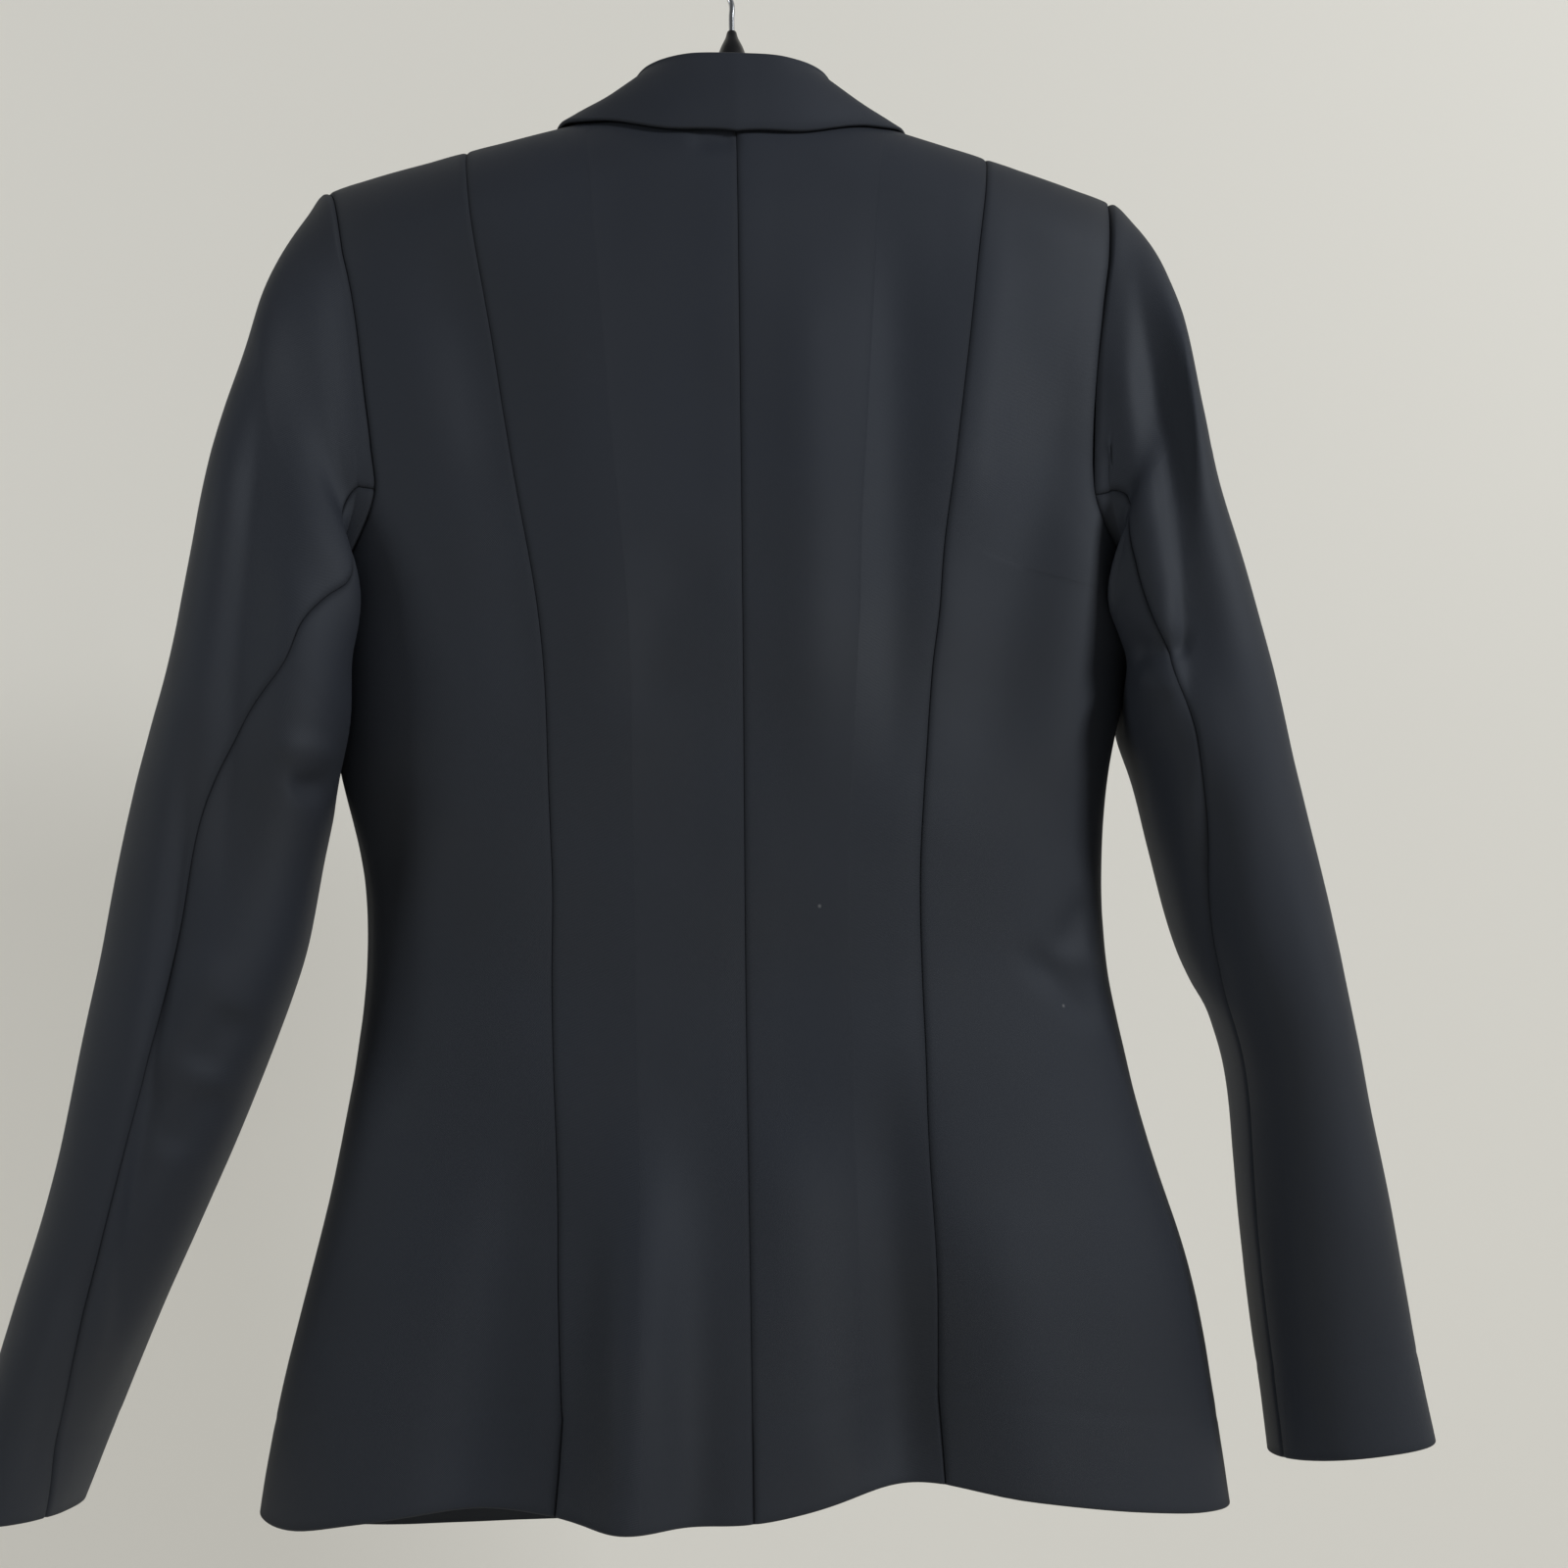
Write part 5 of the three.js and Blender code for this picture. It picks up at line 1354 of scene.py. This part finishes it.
class BLAZER_OT_button(bpy.types.Operator):
    """Makes the button and the thread that holds it"""

    bl_idname = "blazer.make_button"
    bl_label = "Make button"

    def execute(self, context):
        rim = context.scene.blazer_sizes.button_rim * 1000
        r, t = BUTTON_RADIUS, BUTTON_THICK
        profile = [(0, 0), (r - 1.2, 0), (r - 0.4, 0.2), (r, 0.8), (r, t - 0.9)]
        profile += [(r - 0.35, t - 0.2), (r - 1.0, t)]
        profile += [(r - rim, t - 0.1), (r - rim - 0.5, t - 0.7), (r - rim - 1.4, t - 0.95), (0, t - 1.0)]
        plastic = once("moulded_black", plastic_material)
        piece = turned("button_disc", profile, 72, plastic)
        for angle in (45, 135, 225, 315):
            x = HOLE_REACH * math.cos(math.radians(angle))
            y = HOLE_REACH * math.sin(math.radians(angle))
            drill = turned("drill", [(0, -2), (HOLE_RADIUS, -2), (HOLE_RADIUS, 5), (0, 5)], 24, plastic)
            drill.data.transform(Matrix.Translation((x * MM, y * MM, 0)))
            cut = piece.modifiers.new("hole", "BOOLEAN")
            cut.operation, cut.object, cut.solver = "DIFFERENCE", drill, "EXACT"
            bpy.context.view_layer.update()
            dg = bpy.context.evaluated_depsgraph_get()
            made = bpy.data.meshes.new_from_object(piece.evaluated_get(dg), depsgraph=dg)
            piece.modifiers.clear()
            piece.data = made
            bpy.data.objects.remove(drill)
        down = BUTTON_DOWN - float(ridge_down(0))
        point = torso(np.array(180.0), np.array(down))
        normal = torso_normal(np.array(180.0), np.array(down))
        at = point + normal * BUTTON_OFF
        turn = Vector((0, 0, 1)).rotation_difference(Vector(normal)).to_matrix().to_4x4()
        where = Matrix.Translation(Vector(at) * MM) @ turn
        piece.data.transform(where)
        hold(piece, "black_plastic", "button")
        reach = HOLE_REACH / math.sqrt(2)
        for y in (-reach, reach):
            half = [(reach, y, THREAD_LOW), (reach, y, THREAD_UP), (reach * THREAD_LEVEL, y, THREAD_TOP)]
            path = smooth_path([*((-x, y, z) for x, _, z in half), *reversed(half)], 40)
            name = f"button_thread_{'low' if y < 0 else 'high'}"
            strand = tube(name, path, THREAD_RADIUS, 16, once("sewing_thread", thread_material))
            strand.data.transform(where)
            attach(strand, "root")
        return {"FINISHED"}


class BLAZER_OT_hanger(bpy.types.Operator):
    """Makes the hanger: its bar, neck and hook"""

    bl_idname = "blazer.make_hanger"
    bl_label = "Make hanger"

    def execute(self, context):
        plastic = once("moulded_black", plastic_material)
        steel = once("drawn_steel", steel_material)
        half = [(x, 0, -float(ridge_down(x)) - MODEL_CLOTH - BAR_RADIUS - BAR_GAP) for x in BAR_UNDER_SHOULDER]
        half += [(56, 0, -128), (38, 0, -119), (18, 0, -107.5)]
        other = [(-x, y, z) for x, y, z in reversed(half)]
        path = smooth_path([*half, (0, 0, -104.5), *other], 240)
        hold(tube("moulded_bar", path, BAR_RADIUS, 40, plastic, fins=0.05), "black_plastic", "hanger_bar")
        profile = [(0, -99.7), (7.2, -99.7), (7.8, -99.2), (8, -98.4), (8, -92)]
        profile += [(7.9, -89), (7.4, -85), (6.6, -81), (5.4, -77.6), (4.2, -75), (3.3, -73), (2.8, -71.4)]
        profile += [(2.5, -70), (2.3, -69.5), (2.0, -69.3), (0, -69.3)]
        hold(turned("moulded_neck", profile, 64, plastic), "black_plastic", "hanger_neck")
        ring = HOOK_INSIDE + WIRE_RADIUS
        stem = [(0, 0, -69), (0, 0, -62), (0, 0, -54), (4, 0, -46)]
        bow = [
            (ring * math.cos(math.radians(a)), 0, ring * math.sin(math.radians(a)) - HOOK_INSIDE)
            for a in (-48, -20, 10, 40, 70, 100, 130, 160, 190, 205)
        ]
        hook = tube("drawn_hook", smooth_path(stem + bow, 220), WIRE_RADIUS, 28, steel)
        hold(hook, "bright_steel", "hanger_hook")
        return {"FINISHED"}


STAGE_SIZE, FLOOR_AT, WALL_AT = 14, -1.35, -0.42


def pale_material(name, stage):
    """Matt paper of the backdrop, which gives off a little light."""
    material, n, shader = new_material(name)
    put(shader, Base_Color=tuple(c * 0.5 for c in stage.backdrop) + (1,), Roughness=0.9, Specular_IOR_Level=0.1)
    put(shader, Emission_Color=tuple(stage.backdrop) + (1,), Emission_Strength=stage.glow)
    return material, n, shader


class BLAZER_OT_stage(bpy.types.Operator):
    """Makes the floor, backdrop, lights and camera"""

    bl_idname = "blazer.make_stage"
    bl_label = "Make stage"

    def execute(self, context):
        stage = context.scene.blazer_stage
        pale, n, shader = pale_material("pale_backdrop", stage)
        floor = plane("floor", STAGE_SIZE, (0, 0, FLOOR_AT), (0, 0, 1), pale)
        one_sided, n, shader = pale_material("one_sided_backdrop", stage)
        clear = n.add("BsdfTransparent")
        behind = n.add("NewGeometry").outputs["Backfacing"]
        both = n.add("MixShader", None, i0=behind, i1=shader.outputs[0], i2=clear.outputs[0])
        out = next(x for x in n.tree.nodes if x.type == "OUTPUT_MATERIAL")
        n.tree.links.new(both.outputs[0], out.inputs["Surface"])
        wall = plane("backdrop", STAGE_SIZE, (0, WALL_AT, 0), (0, 1, 0), one_sided)
        world = bpy.data.worlds.new("studio")
        context.scene.world = world
        world.use_nodes = True
        sky = world.node_tree.nodes["Background"]
        sky.inputs["Color"].default_value = (0.93, 0.95, 1.0, 1)
        sky.inputs["Strength"].default_value = stage.room
        lamp("key", (-1.9, 1.5, 0.8), (-0.05, 0, -0.4), 0.5, stage.key, (0.93, 0.96, 1.0))
        lamp("fill", (2.0, 0.9, 0.2), (0, 0, -0.4), 0.6, stage.fill, (0.88, 0.94, 1.0))
        lamp("front", (0.9, -2.4, 0.7), (0, 0, -0.45), 1.4, stage.key * 0.8, (1.0, 0.99, 0.97))
        context.scene.view_settings.view_transform = "Standard"
        camera()
        return {"FINISHED"}


def plane(name, size, at, facing, material):
    half = size / 2
    verts = np.array([(-half, -half, 0), (half, -half, 0), (half, half, 0), (-half, half, 0)])
    obj = mesh_object(name, verts, np.array([[0, 1, 2, 3]]), material)
    turn = Vector((0, 0, 1)).rotation_difference(Vector(facing)).to_matrix().to_4x4()
    obj.data.transform(Matrix.Translation(Vector(at)) @ turn)
    return obj


def lamp(name, at, to, size, power, colour):
    data = bpy.data.lights.new(name, "AREA")
    data.size, data.energy, data.color = size, power, colour
    obj = bpy.data.objects.new(name, data)
    obj.location = at
    obj.rotation_mode = "QUATERNION"
    obj.rotation_quaternion = (Vector(to) - Vector(at)).to_track_quat("-Z", "Y")
    bpy.context.scene.collection.objects.link(obj)


def camera():
    """The camera of the photograph: 1600 pixels wide and high, with a lens of 1600 pixels."""
    pitch, yaw, roll = (math.radians(v) for v in (CAMERA_PITCH, CAMERA_YAW, CAMERA_ROLL))
    ahead = Vector((-math.sin(yaw) * math.cos(pitch), -math.cos(yaw) * math.cos(pitch), math.sin(pitch)))
    right = ahead.cross(Vector((0, 0, 1))).normalized()
    up = right.cross(ahead)
    across = math.cos(roll) * right - math.sin(roll) * up
    upward = math.sin(roll) * right + math.cos(roll) * up
    data = bpy.data.cameras.new("camera")
    data.sensor_width, data.lens, data.sensor_fit = 36, 36, "AUTO"
    data.clip_start, data.clip_end = 0.01, 50
    obj = bpy.data.objects.new("camera", data)
    turn = Matrix((across, upward, -ahead)).transposed().to_4x4()
    obj.matrix_world = Matrix.Translation(Vector(CAMERA_AT) * MM) @ turn
    bpy.context.scene.collection.objects.link(obj)
    bpy.context.scene.camera = obj


class BLAZER_PT_panel(bpy.types.Panel):
    """Lists the blazer's sizes, colours and pieces"""

    bl_idname = "BLAZER_PT_panel"
    bl_label = "Blazer"
    bl_space_type = "VIEW_3D"
    bl_region_type = "UI"
    bl_category = "Blazer"

    def draw(self, context):
        for settings in (context.scene.blazer_sizes, context.scene.blazer_colours, context.scene.blazer_stage):
            box = self.layout.box()
            for key in settings.bl_rna.properties.keys()[2:]:
                box.prop(settings, key)
        for operator in OPERATORS:
            self.layout.operator(operator.bl_idname)


OPERATORS = (
    BLAZER_OT_stage,
    BLAZER_OT_body,
    BLAZER_OT_lapels,
    BLAZER_OT_collar,
    BLAZER_OT_sleeves,
    BLAZER_OT_button,
    BLAZER_OT_hanger,
)
SETTINGS = (BlazerSizes, BlazerColours, BlazerStage)


def register():
    for kind in (*SETTINGS, *OPERATORS, BLAZER_PT_panel):
        bpy.utils.register_class(kind)
    bpy.types.Scene.blazer_sizes = PointerProperty(type=BlazerSizes)
    bpy.types.Scene.blazer_colours = PointerProperty(type=BlazerColours)
    bpy.types.Scene.blazer_stage = PointerProperty(type=BlazerStage)


def unregister():
    del bpy.types.Scene.blazer_sizes, bpy.types.Scene.blazer_colours, bpy.types.Scene.blazer_stage
    for kind in reversed((*SETTINGS, *OPERATORS, BLAZER_PT_panel)):
        bpy.utils.unregister_class(kind)


def main():
    register()
    bpy.ops.blazer.make_stage()
    bpy.ops.blazer.make_body()
    bpy.ops.blazer.make_lapels()
    bpy.ops.blazer.make_collar()
    bpy.ops.blazer.make_sleeves()
    bpy.ops.blazer.make_button()
    bpy.ops.blazer.make_hanger()


if __name__ == "__main__":
    main()
